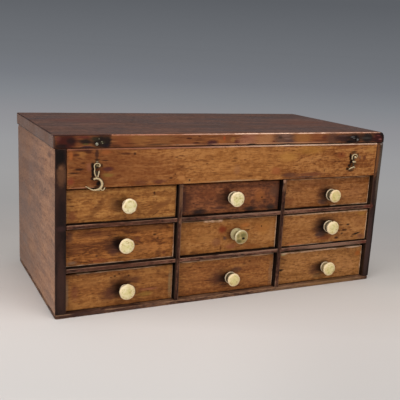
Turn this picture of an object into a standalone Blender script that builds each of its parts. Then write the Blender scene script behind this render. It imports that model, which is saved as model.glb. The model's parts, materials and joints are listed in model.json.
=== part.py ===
"""Small wooden box with a hinged lid over a shallow till and nine drawers below it.

Metres, +Z up, front towards -Y. The origin is the middle of the underside of the case.
Three columns of drawers stand between the sides and two thin partitions. Two thin shelves
part the three rows, and cross the partitions in halving joints. The lid turns on two sunk
butt hinges at the back, and is held at the front by two swinging hooks, of which the
right-hand one has lost its crescent.
"""
import math

import bmesh
import bpy
from mathutils import Matrix, Vector

# Case
COLUMN_WIDTHS = (0.1019, 0.1062, 0.1070)        # clear widths, left to right
ROW_HEIGHTS = (0.0315, 0.0352, 0.0375)          # clear heights, top to bottom
RAIL_HEIGHT = 0.0337
CASE_DEPTH = 0.1650
LEFT_SIDE_THICKNESS = 0.0095
RIGHT_SIDE_THICKNESS = 0.0074
RAIL_THICKNESS = 0.0095
BACK_THICKNESS = 0.0110
BOTTOM_THICKNESS = 0.0036
PARTITION_THICKNESS = 0.0040
SHELF_THICKNESS = 0.0035
TILL_FLOOR_THICKNESS = 0.0040
HOUSING_DEPTH = 0.0012                          # grooves that take the ends of shelves and partitions
HOUSING_STOP = 0.0120                           # how far behind the front a groove begins

# Lid
LID_THICKNESS = 0.0112
LID_OVERHANG = 0.0012                           # past the case at each end
LID_WORN_CORNER = 0.0025                        # plan radius of the rubbed front right corner
LID_WORN_END = 0.0065                           # radius of the rubbed upper arris at the right end
LID_CORNER = 0.0014                             # plan radius of the other corners

# Drawers
DRAWER_SIDE_CLEARANCE = 0.0005
DRAWER_TOP_CLEARANCES = (                       # above each front, row by row from the top
    (0.0016, 0.0018, 0.0015),
    (0.0019, 0.0022, 0.0022),
    (0.0033, 0.0026, 0.0038),
)
DRAWER_BACK_CLEARANCE = 0.0020
DRAWER_FRONT_THICKNESS = 0.0070
DRAWER_SIDE_THICKNESS = 0.0035
DRAWER_BACK_THICKNESS = 0.0040
DRAWER_BOTTOM_THICKNESS = 0.0025
DRAWER_SIDE_DROP = 0.0020                       # sides end this far below the front's top
DRAWER_RECESSES = (                             # how far each front stands back in the case
    (0.0044, 0.0056, 0.0054),
    (0.0054, 0.0054, 0.0030),
    (0.0052, 0.0060, 0.0054),
)
KNOB_OFFSETS = (                                # each knob from the middle of its front, x and z
    ((0.0034, -0.0003), (0.0022, -0.0001), (0.0044, -0.0029)),
    ((0.0022, 0.0004), (0.0073, 0.0007), (0.0034, 0.0016)),
    ((0.0037, -0.0019), (0.0043, -0.0033), (0.0060, -0.0029)),
)

KNOB_HEAD_RADII = (                             # no two of the turned heads are quite alike
    (0.0068, 0.0073, 0.0066),
    (0.0070, 0.0070, 0.0071),
    (0.0074, 0.0065, 0.0071),
)

# Turned bone knobs, and the brass one of the middle drawer
BONE_KNOB = {"length": 0.0096, "head_thickness": 0.0033, "dome": 0.0006, "rim": 0.0008,
             "neck_radius": 0.0030, "base_radius": 0.0060, "base_thickness": 0.0014}
BRASS_KNOB = {"length": 0.0125, "head_thickness": 0.0026, "dome": 0.0009, "rim": 0.0008,
              "neck_radius": 0.0026, "base_radius": 0.0062, "base_thickness": 0.0015}
SPIGOT_RADIUS = 0.0016
SPIGOT_LENGTH = 0.0050
BRASS_PIT_OFFSET = (0.0014, -0.0010)            # small pit in the brass knob's face
BRASS_PIT_RADIUS = 0.0007
BRASS_PIT_DEPTH = 0.0012

# Hinges
HINGE_INSET = 0.0620                            # middle of each hinge from the end of the case
HINGE_LENGTH = 0.0250
HINGE_AXIS_SETBACK = 0.0030                     # pin from the back face
HINGE_LEAF_WIDTH = 0.0072                       # pin to the leaf's far edge
HINGE_LEAF_THICKNESS = 0.0008
KNUCKLE_RADIUS = 0.0016
KNUCKLE_BORE_RADIUS = 0.0008
HINGE_PIN_RADIUS = 0.0006
STOP_ANGLE = math.radians(51)                   # slope of the chamfers that stop the lid
SCREW_SPACING = 0.0150                          # between the two holes of a leaf
SCREW_HOLE_RADIUS = 0.0009
SCREW_HOLE_DEPTH = 0.0060
COUNTERSINK_RADIUS = 0.0015
COUNTERSINK_DEPTH = 0.0006

# Hooks, their pivots and the studs on the lid
LEFT_PIVOT_INSET = 0.0349                       # from the left end of the case
LEFT_PIVOT_DROP = 0.0140                        # below the top of the case
RIGHT_PIVOT_INSET = 0.0367                      # from the right end of the case
RIGHT_PIVOT_DROP = 0.0135
STUD_RISE = 0.0038                              # above the underside of the lid
LEFT_STUD_OFFSET = -0.0008                      # sideways from the hook's pivot
RIGHT_STUD_OFFSET = 0.0006
HOOK_THICKNESS = 0.0016
HOOK_STANDOFF = 0.0004                          # from the face of the rail
EYE_RADIUS = 0.0030
STUB_EYE_RADIUS = 0.0036
EYE_HOLE_RADIUS = 0.0012
EYE_NUB_RADIUS = 0.0011
SCROLL_RADIUS = 0.0014
PIVOT_SHANK_RADIUS = 0.0009
PIVOT_HEAD_RADIUS = 0.0019
PIVOT_HEAD_HEIGHT = 0.0009
PIVOT_LENGTH = 0.0060                           # in the rail
STUD_SHANK_RADIUS = 0.0007
STUD_HEAD_RADIUS = 0.0014
STUD_HEAD_HEIGHT = 0.0009
STUD_LENGTH = 0.0055                            # in the lid

# Middle lines of the hooks' strokes: x and z from the pivot, then the half width there
HOOK_NECK = ((0.0, -0.0020, 0.0018), (-0.0001, -0.0036, 0.0024), (-0.0001, -0.0056, 0.0026),
             (-0.0001, -0.0078, 0.0021), (0.0, -0.0098, 0.0016), (0.0001, -0.0114, 0.0012))
HOOK_CRESCENT = ((-0.0021, -0.0113, 0.0010), (-0.0003, -0.0111, 0.0012), (0.0018, -0.0118, 0.0013),
                 (0.0036, -0.0133, 0.0013), (0.0045, -0.0156, 0.0015), (0.0041, -0.0180, 0.0016),
                 (0.0022, -0.0202, 0.0015), (-0.0007, -0.0208, 0.0010), (-0.0031, -0.0209, 0.0009),
                 (-0.0055, -0.0200, 0.0008), (-0.0080, -0.0185, 0.0006), (-0.0099, -0.0174, 0.0003))
HOOK_SPUR = ((0.0030, -0.0200, 0.0008), (0.0046, -0.0212, 0.0008), (0.0058, -0.0213, 0.0007),
             (0.0066, -0.0203, 0.0007), (0.0070, -0.0189, 0.0004))
STUB_NECK = ((0.0, -0.0028, 0.0016), (-0.0001, -0.0040, 0.0024), (-0.0001, -0.0050, 0.0026),
             (-0.0002, -0.0062, 0.0018), (-0.0003, -0.0076, 0.0011), (-0.0001, -0.0098, 0.0011))
STUB_FOOT = ((0.0013, -0.0099, 0.0009), (-0.0006, -0.0104, 0.0012), (-0.0030, -0.0112, 0.0011),
             (-0.0052, -0.0121, 0.0009))
STUB_SCROLL_RADIUS = 0.0010

# Clearances and counts
GAP = 0.0003                                    # between pieces that touch
KNUCKLE_CLEARANCE = 0.0004
OVERRUN = 0.0020                                # how far a cutter runs past what it cuts
ROUND_STEPS = 24
SMALL_ROUND_STEPS = 16
RIBBON_STEPS = 5                                # along each span of a hook's stroke
ROWS = ("top", "middle", "bottom")
COLUMNS = ("left", "middle", "right")
RED_DRAWER = (0, 1)                             # row and column of the red-brown front
BRASS_KNOB_DRAWER = (1, 1)

# Finishes: base colour, roughness, metallic
WARM_WOOD = ((0.305, 0.130, 0.040), 0.55, 0.0)
RED_WOOD = ((0.105, 0.034, 0.022), 0.50, 0.0)
DARK_WOOD = ((0.092, 0.054, 0.045), 0.45, 0.0)
SIDE_WOOD = ((0.240, 0.145, 0.092), 0.60, 0.0)
EDGE_WOOD = ((0.105, 0.052, 0.036), 0.60, 0.0)
PALE_WOOD = ((0.420, 0.270, 0.140), 0.70, 0.0)
BONE = ((0.745, 0.610, 0.350), 0.40, 0.0)
OLD_BRASS = ((0.510, 0.400, 0.210), 0.40, 1.0)
STEEL = ((0.250, 0.230, 0.210), 0.50, 1.0)

# Places that follow from the sizes
CASE_WIDTH = LEFT_SIDE_THICKNESS + RIGHT_SIDE_THICKNESS + 2 * PARTITION_THICKNESS + sum(COLUMN_WIDTHS)
LEFT = -CASE_WIDTH / 2
RIGHT = CASE_WIDTH / 2
FRONT = -CASE_DEPTH / 2
BACK = CASE_DEPTH / 2
INNER_LEFT = LEFT + LEFT_SIDE_THICKNESS
INNER_RIGHT = RIGHT - RIGHT_SIDE_THICKNESS
INNER_BACK = BACK - BACK_THICKNESS
HALVING = (FRONT + INNER_BACK) / 2              # where shelves and partitions cross
LOWER_SHELF = BOTTOM_THICKNESS + ROW_HEIGHTS[2]
UPPER_SHELF = LOWER_SHELF + SHELF_THICKNESS + ROW_HEIGHTS[1]
RAIL_UNDERSIDE = UPPER_SHELF + SHELF_THICKNESS + ROW_HEIGHTS[0]
ROW_FLOORS = (UPPER_SHELF + SHELF_THICKNESS, LOWER_SHELF + SHELF_THICKNESS, BOTTOM_THICKNESS)
CASE_TOP = RAIL_UNDERSIDE + RAIL_HEIGHT
LID_UNDERSIDE = CASE_TOP + GAP
LID_TOP = LID_UNDERSIDE + LID_THICKNESS
LID_LEFT = LEFT - LID_OVERHANG
LID_RIGHT = RIGHT + LID_OVERHANG
HINGE_AXIS = Vector((0, BACK - HINGE_AXIS_SETBACK, CASE_TOP + GAP / 2))
HINGE_PLACES = (LEFT + HINGE_INSET, RIGHT - HINGE_INSET)
LEFT_PIVOT = Vector((LEFT + LEFT_PIVOT_INSET, FRONT, CASE_TOP - LEFT_PIVOT_DROP))
RIGHT_PIVOT = Vector((RIGHT - RIGHT_PIVOT_INSET, FRONT, CASE_TOP - RIGHT_PIVOT_DROP))
STUDS = (
    Vector((LEFT_PIVOT.x + LEFT_STUD_OFFSET, FRONT, LID_UNDERSIDE + STUD_RISE)),
    Vector((RIGHT_PIVOT.x + RIGHT_STUD_OFFSET, FRONT, LID_UNDERSIDE + STUD_RISE)),
)
UPRIGHT = Matrix()
FACING_FRONT = Matrix.Rotation(math.pi / 2, 4, "X")    # turns +Z to -Y
ALONG_X = Matrix.Rotation(math.pi / 2, 4, "Y")
UPSIDE_DOWN = Matrix.Rotation(math.pi, 4, "X")


def column_left(column):
    """Left end of a column's clear space."""
    return INNER_LEFT + sum(COLUMN_WIDTHS[:column]) + column * PARTITION_THICKNESS


def column_right(column):
    """Right end of a column's clear space."""
    return column_left(column) + COLUMN_WIDTHS[column]


def clear_scene():
    """Remove what the scene holds, and make the two collections."""
    for obj in list(bpy.data.objects):
        bpy.data.objects.remove(obj, do_unlink=True)
    collections = []
    for name in ("drawer_box", "cutters"):
        collection = bpy.data.collections.new(name)
        bpy.context.scene.collection.children.link(collection)
        collections.append(collection)
    return collections


def finished(obj, finish):
    """Give an object its own material."""
    colour, roughness, metallic = finish
    material = bpy.data.materials.new(obj.name + "_finish")
    material.use_nodes = True
    shader = material.node_tree.nodes["Principled BSDF"]
    shader.inputs["Base Color"].default_value = (*colour, 1)
    shader.inputs["Roughness"].default_value = roughness
    shader.inputs["Metallic"].default_value = metallic
    obj.data.materials.append(material)
    return obj


def placed(name, shape, finish, pivot=None):
    """Object of a bmesh in world places, with its origin at its middle or on its pivot's empty."""
    if pivot is not None:
        origin = pivot.location.copy()
    else:
        xs, ys, zs = zip(*(vertex.co for vertex in shape.verts))
        origin = Vector(((min(xs) + max(xs)) / 2, (min(ys) + max(ys)) / 2, (min(zs) + max(zs)) / 2))
    bmesh.ops.translate(shape, vec=-origin, verts=shape.verts)
    mesh = bpy.data.meshes.new(name)
    shape.to_mesh(mesh)
    shape.free()
    obj = bpy.data.objects.new(name, mesh)
    PARTS.objects.link(obj)
    if pivot is not None:
        obj.parent = pivot
    else:
        obj.location = origin
    return finished(obj, finish)


def tool(name, shape):
    """Cutter of a bmesh in world places."""
    mesh = bpy.data.meshes.new(name)
    shape.to_mesh(mesh)
    shape.free()
    obj = bpy.data.objects.new(name, mesh)
    obj.hide_render = True
    obj.display_type = "WIRE"
    CUTTERS.objects.link(obj)
    return obj


def combine(obj, name, shape, operation="DIFFERENCE"):
    """Cut a shape from an object, or unite them."""
    modifier = obj.modifiers.new(name, "BOOLEAN")
    modifier.operation = operation
    modifier.solver = "EXACT"
    modifier.object = tool(obj.name + "_" + name, shape)


def pivot_empty(name, place):
    """Empty on a joint's axis that carries the pieces of one moving body."""
    empty = bpy.data.objects.new(name, None)
    empty.location = place
    PARTS.objects.link(empty)
    return empty


def boxes(*spans):
    """Separate boxes, each from its low corner to its high corner."""
    shape = bmesh.new()
    for low, high in spans:
        low, high = Vector(low), Vector(high)
        cube = bmesh.ops.create_cube(shape, size=1)
        bmesh.ops.scale(shape, vec=high - low, verts=cube["verts"])
        bmesh.ops.translate(shape, vec=(low + high) / 2, verts=cube["verts"])
    return shape


def rods(radius, length, places, turn, steps=SMALL_ROUND_STEPS):
    """Separate cylinders along a turned Z axis, each about its middle."""
    shape = bmesh.new()
    for place in places:
        matrix = Matrix.Translation(place) @ turn
        bmesh.ops.create_cone(shape, cap_ends=True, segments=steps, radius1=radius, radius2=radius,
                              depth=length, matrix=matrix)
    return shape


def copies(mesh, places, turn):
    """Bmesh with a copy of a mesh at each place."""
    shape = bmesh.new()
    for place in places:
        known = set(shape.verts)
        shape.from_mesh(mesh)
        added = [vertex for vertex in shape.verts if vertex not in known]
        bmesh.ops.transform(shape, matrix=Matrix.Translation(place) @ turn, verts=added)
    return shape


def evaluated_mesh(obj):
    """Mesh that an object's modifiers or curve make; the object is removed."""
    bpy.context.view_layer.update()
    depsgraph = bpy.context.evaluated_depsgraph_get()
    mesh = bpy.data.meshes.new_from_object(obj.evaluated_get(depsgraph))
    bpy.data.objects.remove(obj, do_unlink=True)
    return mesh


def turned(profile, places, turn, steps=SMALL_ROUND_STEPS):
    """Copies of a turned shape; its profile runs from the axis at the top down to the axis."""
    mesh = bpy.data.meshes.new("profile")
    mesh.from_pydata([(radius, 0, height) for radius, height in profile],
                     [(index, index + 1) for index in range(len(profile) - 1)], [])
    lathe = bpy.data.objects.new("lathe", mesh)
    bpy.context.scene.collection.objects.link(lathe)
    screw = lathe.modifiers.new("turn", "SCREW")
    screw.steps = steps
    screw.render_steps = steps
    screw.use_merge_vertices = True
    screw.merge_threshold = 0.00001
    return copies(evaluated_mesh(lathe), places, turn)


def plate(outline, thickness, place, turn):
    """Flat plate of a closed outline, about its middle plane."""
    curve = bpy.data.curves.new("outline", "CURVE")
    curve.dimensions = "2D"
    curve.fill_mode = "BOTH"
    curve.extrude = thickness / 2
    spline = curve.splines.new("POLY")
    spline.points.add(len(outline) - 1)
    for point, (x, y) in zip(spline.points, outline):
        point.co = (x, y, 0, 1)
    spline.use_cyclic_u = True
    flat = bpy.data.objects.new("flat", curve)
    bpy.context.scene.collection.objects.link(flat)
    shape = copies(evaluated_mesh(flat), [place], turn)
    bmesh.ops.remove_doubles(shape, verts=shape.verts, dist=0.000001)
    bmesh.ops.recalc_face_normals(shape, faces=shape.faces)
    return shape


def arc(centre, radius, start, end, steps):
    """Points on an arc, angles in degrees."""
    angles = [math.radians(start + (end - start) * step / steps) for step in range(steps + 1)]
    return [(centre[0] + radius * math.cos(a), centre[1] + radius * math.sin(a)) for a in angles]


def smooth_stroke(stroke):
    """Catmull-Rom points through a stroke's x, z and half width."""
    knots = [Vector(knot) for knot in stroke]
    knots = [2 * knots[0] - knots[1]] + knots + [2 * knots[-1] - knots[-2]]
    points = []
    for index in range(1, len(knots) - 2):
        before, start, end, after = knots[index - 1:index + 3]
        for step in range(RIBBON_STEPS):
            t = step / RIBBON_STEPS
            points.append((2 * start + (end - before) * t
                           + (2 * before - 5 * start + 4 * end - after) * t ** 2
                           + (3 * start - before - 3 * end + after) * t ** 3) / 2)
    points.append(knots[-2])
    return points


def ribbon(stroke):
    """Outline on both sides of a stroke's middle line, with blunt ends."""
    points = smooth_stroke(stroke)
    left, right = [], []
    for index, point in enumerate(points):
        ahead = points[min(index + 1, len(points) - 1)]
        behind = points[max(index - 1, 0)]
        along = Vector((ahead.x - behind.x, ahead.y - behind.y)).normalized()
        middle = Vector((point.x, point.y))
        across = Vector((-along.y, along.x)) * point.z
        left.append(tuple(middle + across))
        right.append(tuple(middle - across))
    return left + right[::-1]


def shaded_smooth(obj, angle=math.radians(35)):
    """Smooth shading with sharp edges kept."""
    obj.data.shade_smooth()
    obj.data.set_sharp_from_angle(angle=angle)
    return obj


def partition_grooves(low_z, high_z, start):
    """Grooves across a floor for the two partitions, from a depth to the back board."""
    spans = []
    for column in (0, 1):
        spans.append(((column_right(column) - GAP, start, low_z),
                      (column_left(column + 1) + GAP, INNER_BACK, high_z)))
    return boxes(*spans)


def end_grooves(face, into):
    """Grooves in the inner face of a side for the ends of the two shelves."""
    spans = []
    start = FRONT + HOUSING_STOP - GAP
    low_x, high_x = sorted((face - into * OVERRUN, face + into * HOUSING_DEPTH))
    for height in (LOWER_SHELF, UPPER_SHELF):
        spans.append(((low_x, start, height - GAP), (high_x, INNER_BACK, height + SHELF_THICKNESS + GAP)))
    return boxes(*spans)


def stop_chamfer(direction, height):
    """Rear arris of the case (1) or of the lid (-1), which meet when the lid is fully open."""
    shape = boxes(((LID_LEFT - OVERRUN, -BACK_THICKNESS, 0),
                   (LID_RIGHT + OVERRUN, BACK_THICKNESS, BACK_THICKNESS)))
    if direction < 0:
        bmesh.ops.translate(shape, vec=(0, 0, -BACK_THICKNESS), verts=shape.verts)
    place = Vector((0, HINGE_AXIS.y - GAP / 2, height))
    turn = Matrix.Rotation(-direction * STOP_ANGLE, 4, "X")
    bmesh.ops.transform(shape, matrix=Matrix.Translation(place) @ turn, verts=shape.verts)
    return shape


def bottom_board():
    board = placed("bottom_board", boxes(((LEFT, FRONT, 0), (RIGHT, BACK, BOTTOM_THICKNESS))), EDGE_WOOD)
    grooves = partition_grooves(BOTTOM_THICKNESS - HOUSING_DEPTH, BOTTOM_THICKNESS + OVERRUN,
                                FRONT + HOUSING_STOP - GAP)
    combine(board, "partition_grooves", grooves)


def side(name, outer, inner):
    """Upright end of the case, grooved for the shelves and the till floor."""
    low_x, high_x = sorted((outer, inner))
    board = placed(name, boxes(((low_x, FRONT, BOTTOM_THICKNESS + GAP), (high_x, BACK, CASE_TOP))), SIDE_WOOD)
    into = math.copysign(1, outer - inner)
    combine(board, "shelf_grooves", end_grooves(inner, into))
    low_x, high_x = sorted((inner - into * OVERRUN, inner + into * HOUSING_DEPTH))
    combine(board, "till_groove", boxes(((low_x, FRONT + RAIL_THICKNESS, RAIL_UNDERSIDE - GAP),
                                         (high_x, INNER_BACK, RAIL_UNDERSIDE + TILL_FLOOR_THICKNESS + GAP))))
    combine(board, "stop_chamfer", stop_chamfer(1, CASE_TOP))


def partition(name, column):
    """Thin upright to the right of a column, tongued into the boards below and above it.

    Its rear half is slotted over the shelves, whose front halves are slotted over it.
    """
    left, right = column_right(column), column_left(column + 1)
    foot = BOTTOM_THICKNESS - HOUSING_DEPTH + GAP
    head = RAIL_UNDERSIDE + HOUSING_DEPTH - GAP
    board = placed(name, boxes(((left, FRONT, foot), (right, INNER_BACK - GAP, head))), EDGE_WOOD)
    stop = FRONT + HOUSING_STOP
    low_x, high_x = left - OVERRUN, right + OVERRUN
    corners = boxes(((low_x, FRONT - OVERRUN, foot - OVERRUN), (high_x, stop, BOTTOM_THICKNESS + GAP)),
                    ((low_x, FRONT - OVERRUN, RAIL_UNDERSIDE - GAP), (high_x, stop, head + OVERRUN)))
    slots = boxes(*(((low_x, HALVING, height - GAP), (high_x, BACK, height + SHELF_THICKNESS + GAP))
                    for height in (LOWER_SHELF, UPPER_SHELF)))
    combine(board, "front_corners", corners)
    combine(board, "shelf_slots", slots)


def shelf(name, height):
    """Shelf across the case: its ends lie in the sides, its front half is slotted for the partitions."""
    reach = HOUSING_DEPTH - GAP
    top = height + SHELF_THICKNESS
    low, high = height - OVERRUN, top + OVERRUN
    board = placed(name, boxes(((INNER_LEFT - reach, FRONT, height),
                                (INNER_RIGHT + reach, INNER_BACK - GAP, top))), EDGE_WOOD)
    stop = FRONT + HOUSING_STOP
    corners = boxes(((LEFT, FRONT - OVERRUN, low), (INNER_LEFT + GAP, stop, high)),
                    ((INNER_RIGHT - GAP, FRONT - OVERRUN, low), (RIGHT, stop, high)))
    slots = boxes(*(((column_right(column) - GAP, FRONT - OVERRUN, low),
                     (column_left(column + 1) + GAP, HALVING + GAP, high)) for column in (0, 1)))
    combine(board, "front_corners", corners)
    combine(board, "partition_slots", slots)


def till():
    """Rail across the front and the floor behind it."""
    rail = placed("front_rail", boxes(((INNER_LEFT + GAP, FRONT, RAIL_UNDERSIDE),
                                       (INNER_RIGHT - GAP, FRONT + RAIL_THICKNESS, CASE_TOP))), WARM_WOOD)
    holes = rods(PIVOT_SHANK_RADIUS + GAP, 2 * (PIVOT_LENGTH + GAP), [LEFT_PIVOT, RIGHT_PIVOT], FACING_FRONT)
    combine(rail, "pivot_holes", holes)
    reach = HOUSING_DEPTH - GAP
    start = FRONT + RAIL_THICKNESS + GAP
    floor = placed("till_floor", boxes(((INNER_LEFT - reach, start, RAIL_UNDERSIDE),
                                        (INNER_RIGHT + reach, INNER_BACK - GAP,
                                         RAIL_UNDERSIDE + TILL_FLOOR_THICKNESS))), SIDE_WOOD)
    grooves = partition_grooves(RAIL_UNDERSIDE - OVERRUN, RAIL_UNDERSIDE + HOUSING_DEPTH,
                                FRONT + HOUSING_STOP - GAP)
    combine(floor, "partition_grooves", grooves)


def hinge_mortises(low_z, high_z):
    """Recesses for the leaves, each from the leaf's far edge to past the pin."""
    spans = []
    for place in HINGE_PLACES:
        half = HINGE_LENGTH / 2 + GAP
        spans.append(((place - half, HINGE_AXIS.y - HINGE_LEAF_WIDTH - GAP, low_z),
                      (place + half, HINGE_AXIS.y, high_z)))
    return boxes(*spans)


def barrel_recesses():
    """Round recesses about the pins."""
    places = [Vector((place, HINGE_AXIS.y, HINGE_AXIS.z)) for place in HINGE_PLACES]
    return rods(KNUCKLE_RADIUS + KNUCKLE_CLEARANCE, HINGE_LENGTH + 2 * GAP, places,
                ALONG_X, ROUND_STEPS)


def screw_holes(height, turn):
    """Countersunk holes through the leaves and into the wood, down from a height."""
    depth = HINGE_AXIS.y - (HINGE_LEAF_WIDTH + KNUCKLE_RADIUS + KNUCKLE_CLEARANCE) / 2
    shifts = (-SCREW_SPACING / 2, SCREW_SPACING / 2)
    places = [Vector((place + shift, depth, height)) for place in HINGE_PLACES for shift in shifts]
    profile = [(0, OVERRUN), (COUNTERSINK_RADIUS, OVERRUN), (COUNTERSINK_RADIUS, 0),
               (SCREW_HOLE_RADIUS, -COUNTERSINK_DEPTH), (SCREW_HOLE_RADIUS, -SCREW_HOLE_DEPTH),
               (0, -SCREW_HOLE_DEPTH)]
    return turned(profile, places, turn)


def back_board():
    board = placed("back_board", boxes(((INNER_LEFT + GAP, INNER_BACK, BOTTOM_THICKNESS + GAP),
                                        (INNER_RIGHT - GAP, BACK, CASE_TOP))), SIDE_WOOD)
    combine(board, "stop_chamfer", stop_chamfer(1, CASE_TOP))
    mortise_floor = CASE_TOP - HINGE_LEAF_THICKNESS - GAP
    combine(board, "hinge_mortises", hinge_mortises(mortise_floor, CASE_TOP + OVERRUN))
    combine(board, "barrel_recesses", barrel_recesses())
    combine(board, "screw_holes", screw_holes(CASE_TOP, UPRIGHT))


def lid_outline():
    """Plan of the lid, with its front right corner rubbed round."""
    corners = ((LID_LEFT, FRONT, LID_CORNER, 180), (LID_RIGHT, FRONT, LID_WORN_CORNER, 270),
               (LID_RIGHT, BACK, LID_CORNER, 0), (LID_LEFT, BACK, LID_CORNER, 90))
    outline = []
    for x, y, radius, start in corners:
        centre = (x - math.copysign(radius, x), y - math.copysign(radius, y))
        outline += arc(centre, radius, start, start + 90, ROUND_STEPS // 4)
    return outline


def worn_end():
    """What is rubbed off the upper arris of the lid's right end."""
    inner, lower = LID_RIGHT - LID_WORN_END, LID_TOP - LID_WORN_END
    outer, upper = LID_RIGHT + OVERRUN, LID_TOP + OVERRUN
    outline = arc((inner, lower), LID_WORN_END, 90, 0, ROUND_STEPS // 4)
    outline += [(outer, lower), (outer, upper), (inner, upper)]
    return plate(outline, CASE_DEPTH + 2 * OVERRUN, Vector((0, 0, 0)), FACING_FRONT)


def lid(pivot):
    middle = Vector((0, 0, (LID_UNDERSIDE + LID_TOP) / 2))
    board = placed("lid", plate(lid_outline(), LID_THICKNESS, middle, UPRIGHT), DARK_WOOD, pivot)
    combine(board, "worn_end", worn_end())
    combine(board, "stop_chamfer", stop_chamfer(-1, LID_UNDERSIDE))
    mortise_top = LID_UNDERSIDE + HINGE_LEAF_THICKNESS + GAP
    combine(board, "hinge_mortises", hinge_mortises(LID_UNDERSIDE - OVERRUN, mortise_top))
    combine(board, "barrel_recesses", barrel_recesses())
    combine(board, "screw_holes", screw_holes(LID_UNDERSIDE, UPSIDE_DOWN))
    combine(board, "stud_holes", rods(STUD_SHANK_RADIUS + GAP, 2 * (STUD_LENGTH + GAP), STUDS, FACING_FRONT))


def hinge_leaf(name, place, low_z, thirds, pivot=None):
    """Flat leaf with its share of the knuckles, which are the named thirds of its length."""
    edge = HINGE_AXIS.y - KNUCKLE_RADIUS - KNUCKLE_CLEARANCE
    far = HINGE_AXIS.y - HINGE_LEAF_WIDTH
    high_z = low_z + HINGE_LEAF_THICKNESS
    half = HINGE_LENGTH / 2
    leaf = placed(name, boxes(((place - half, far, low_z), (place + half, edge, high_z))), OLD_BRASS, pivot)
    third = HINGE_LENGTH / 3
    length = third - GAP
    middles = [place + (index - 1) * third for index in thirds]
    reach = HINGE_AXIS.y - (KNUCKLE_RADIUS + KNUCKLE_BORE_RADIUS) / 2
    tabs = [((middle - length / 2, edge - KNUCKLE_CLEARANCE, low_z), (middle + length / 2, reach, high_z))
            for middle in middles]
    axis = [Vector((middle, HINGE_AXIS.y, HINGE_AXIS.z)) for middle in middles]
    combine(leaf, "tabs", boxes(*tabs), "UNION")
    combine(leaf, "knuckles", rods(KNUCKLE_RADIUS, length, axis, ALONG_X, ROUND_STEPS), "UNION")
    combine(leaf, "bore", rods(KNUCKLE_BORE_RADIUS, HINGE_LENGTH + 2 * OVERRUN,
                               [Vector((place, HINGE_AXIS.y, HINGE_AXIS.z))], ALONG_X))
    return shaded_smooth(leaf)


def hinges(pivot):
    """Two butt hinges, each with a leaf in the back board, a leaf in the lid and a pin."""
    for name, place in zip(("left", "right"), HINGE_PLACES):
        case_leaf = hinge_leaf("hinge_" + name + "_case_leaf", place, CASE_TOP - HINGE_LEAF_THICKNESS, (0, 2))
        lid_leaf = hinge_leaf("hinge_" + name + "_lid_leaf", place, LID_UNDERSIDE, (1,), pivot)
        combine(case_leaf, "screw_holes", screw_holes(CASE_TOP, UPRIGHT))
        combine(lid_leaf, "screw_holes", screw_holes(LID_UNDERSIDE, UPSIDE_DOWN))
        pin = rods(HINGE_PIN_RADIUS, HINGE_LENGTH, [Vector((place, HINGE_AXIS.y, HINGE_AXIS.z))], ALONG_X)
        shaded_smooth(placed("hinge_" + name + "_pin", pin, STEEL))


def hook(name, pivot, eye_radius, strokes, discs):
    """Flat cast hook on a round-headed pin: an eye, strokes of changing width and small round ends."""
    middle = pivot.location + Vector((0, -HOOK_STANDOFF - HOOK_THICKNESS / 2, 0))
    eye = rods(eye_radius, HOOK_THICKNESS, [middle], FACING_FRONT, ROUND_STEPS)
    body = placed(name, eye, OLD_BRASS, pivot)
    for number, stroke in enumerate(strokes):
        shape = plate(ribbon(stroke), HOOK_THICKNESS, middle, FACING_FRONT)
        combine(body, "stroke_%d" % number, shape, "UNION")
    for number, (x, z, radius) in enumerate(discs):
        place = middle + Vector((x, 0, z))
        combine(body, "disc_%d" % number, rods(radius, HOOK_THICKNESS, [place], FACING_FRONT), "UNION")
    combine(body, "eye_hole", rods(EYE_HOLE_RADIUS, HOOK_THICKNESS + OVERRUN, [middle], FACING_FRONT))
    pin = dome_profile(PIVOT_HEAD_RADIUS, PIVOT_HEAD_HEIGHT, PIVOT_SHANK_RADIUS, PIVOT_LENGTH)
    shaded_smooth(placed(name + "_pin", turned(pin, [pivot.location], FACING_FRONT), OLD_BRASS))


def dome_profile(head_radius, head_height, shank_radius, length):
    """Round-headed pin that clears a hook: the dome, the head's underside and the shank, downwards."""
    standoff = HOOK_STANDOFF + HOOK_THICKNESS + GAP
    dome = [(head_radius * math.sin(angle), standoff + head_height * math.cos(angle))
            for angle in (math.radians(30 * step) for step in range(4))]
    return dome + [(shank_radius, standoff), (shank_radius, -length), (0, -length)]


def hooks():
    """The whole hook on the left, and on the right the stub of the broken one."""
    left = pivot_empty("left_hook_pivot", LEFT_PIVOT)
    right = pivot_empty("right_hook_pivot", RIGHT_PIVOT)
    scroll_x, scroll_z = HOOK_CRESCENT[0][:2]
    tail_x, tail_z = STUB_FOOT[-1][:2]
    hook("left_hook", left, EYE_RADIUS, (HOOK_NECK, HOOK_CRESCENT, HOOK_SPUR),
         ((0, EYE_RADIUS, EYE_NUB_RADIUS), (scroll_x, scroll_z, SCROLL_RADIUS)))
    hook("right_hook", right, STUB_EYE_RADIUS, (STUB_NECK, STUB_FOOT),
         ((tail_x, tail_z, STUB_SCROLL_RADIUS),))


def studs(pivot):
    """Round-headed studs in the front edge of the lid, which the hooks catch."""
    profile = dome_profile(STUD_HEAD_RADIUS, STUD_HEAD_HEIGHT, STUD_SHANK_RADIUS, STUD_LENGTH)
    for name, place in zip(("left_stud", "right_stud"), STUDS):
        shaded_smooth(placed(name, turned(profile, [place], FACING_FRONT), OLD_BRASS, pivot))


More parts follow.
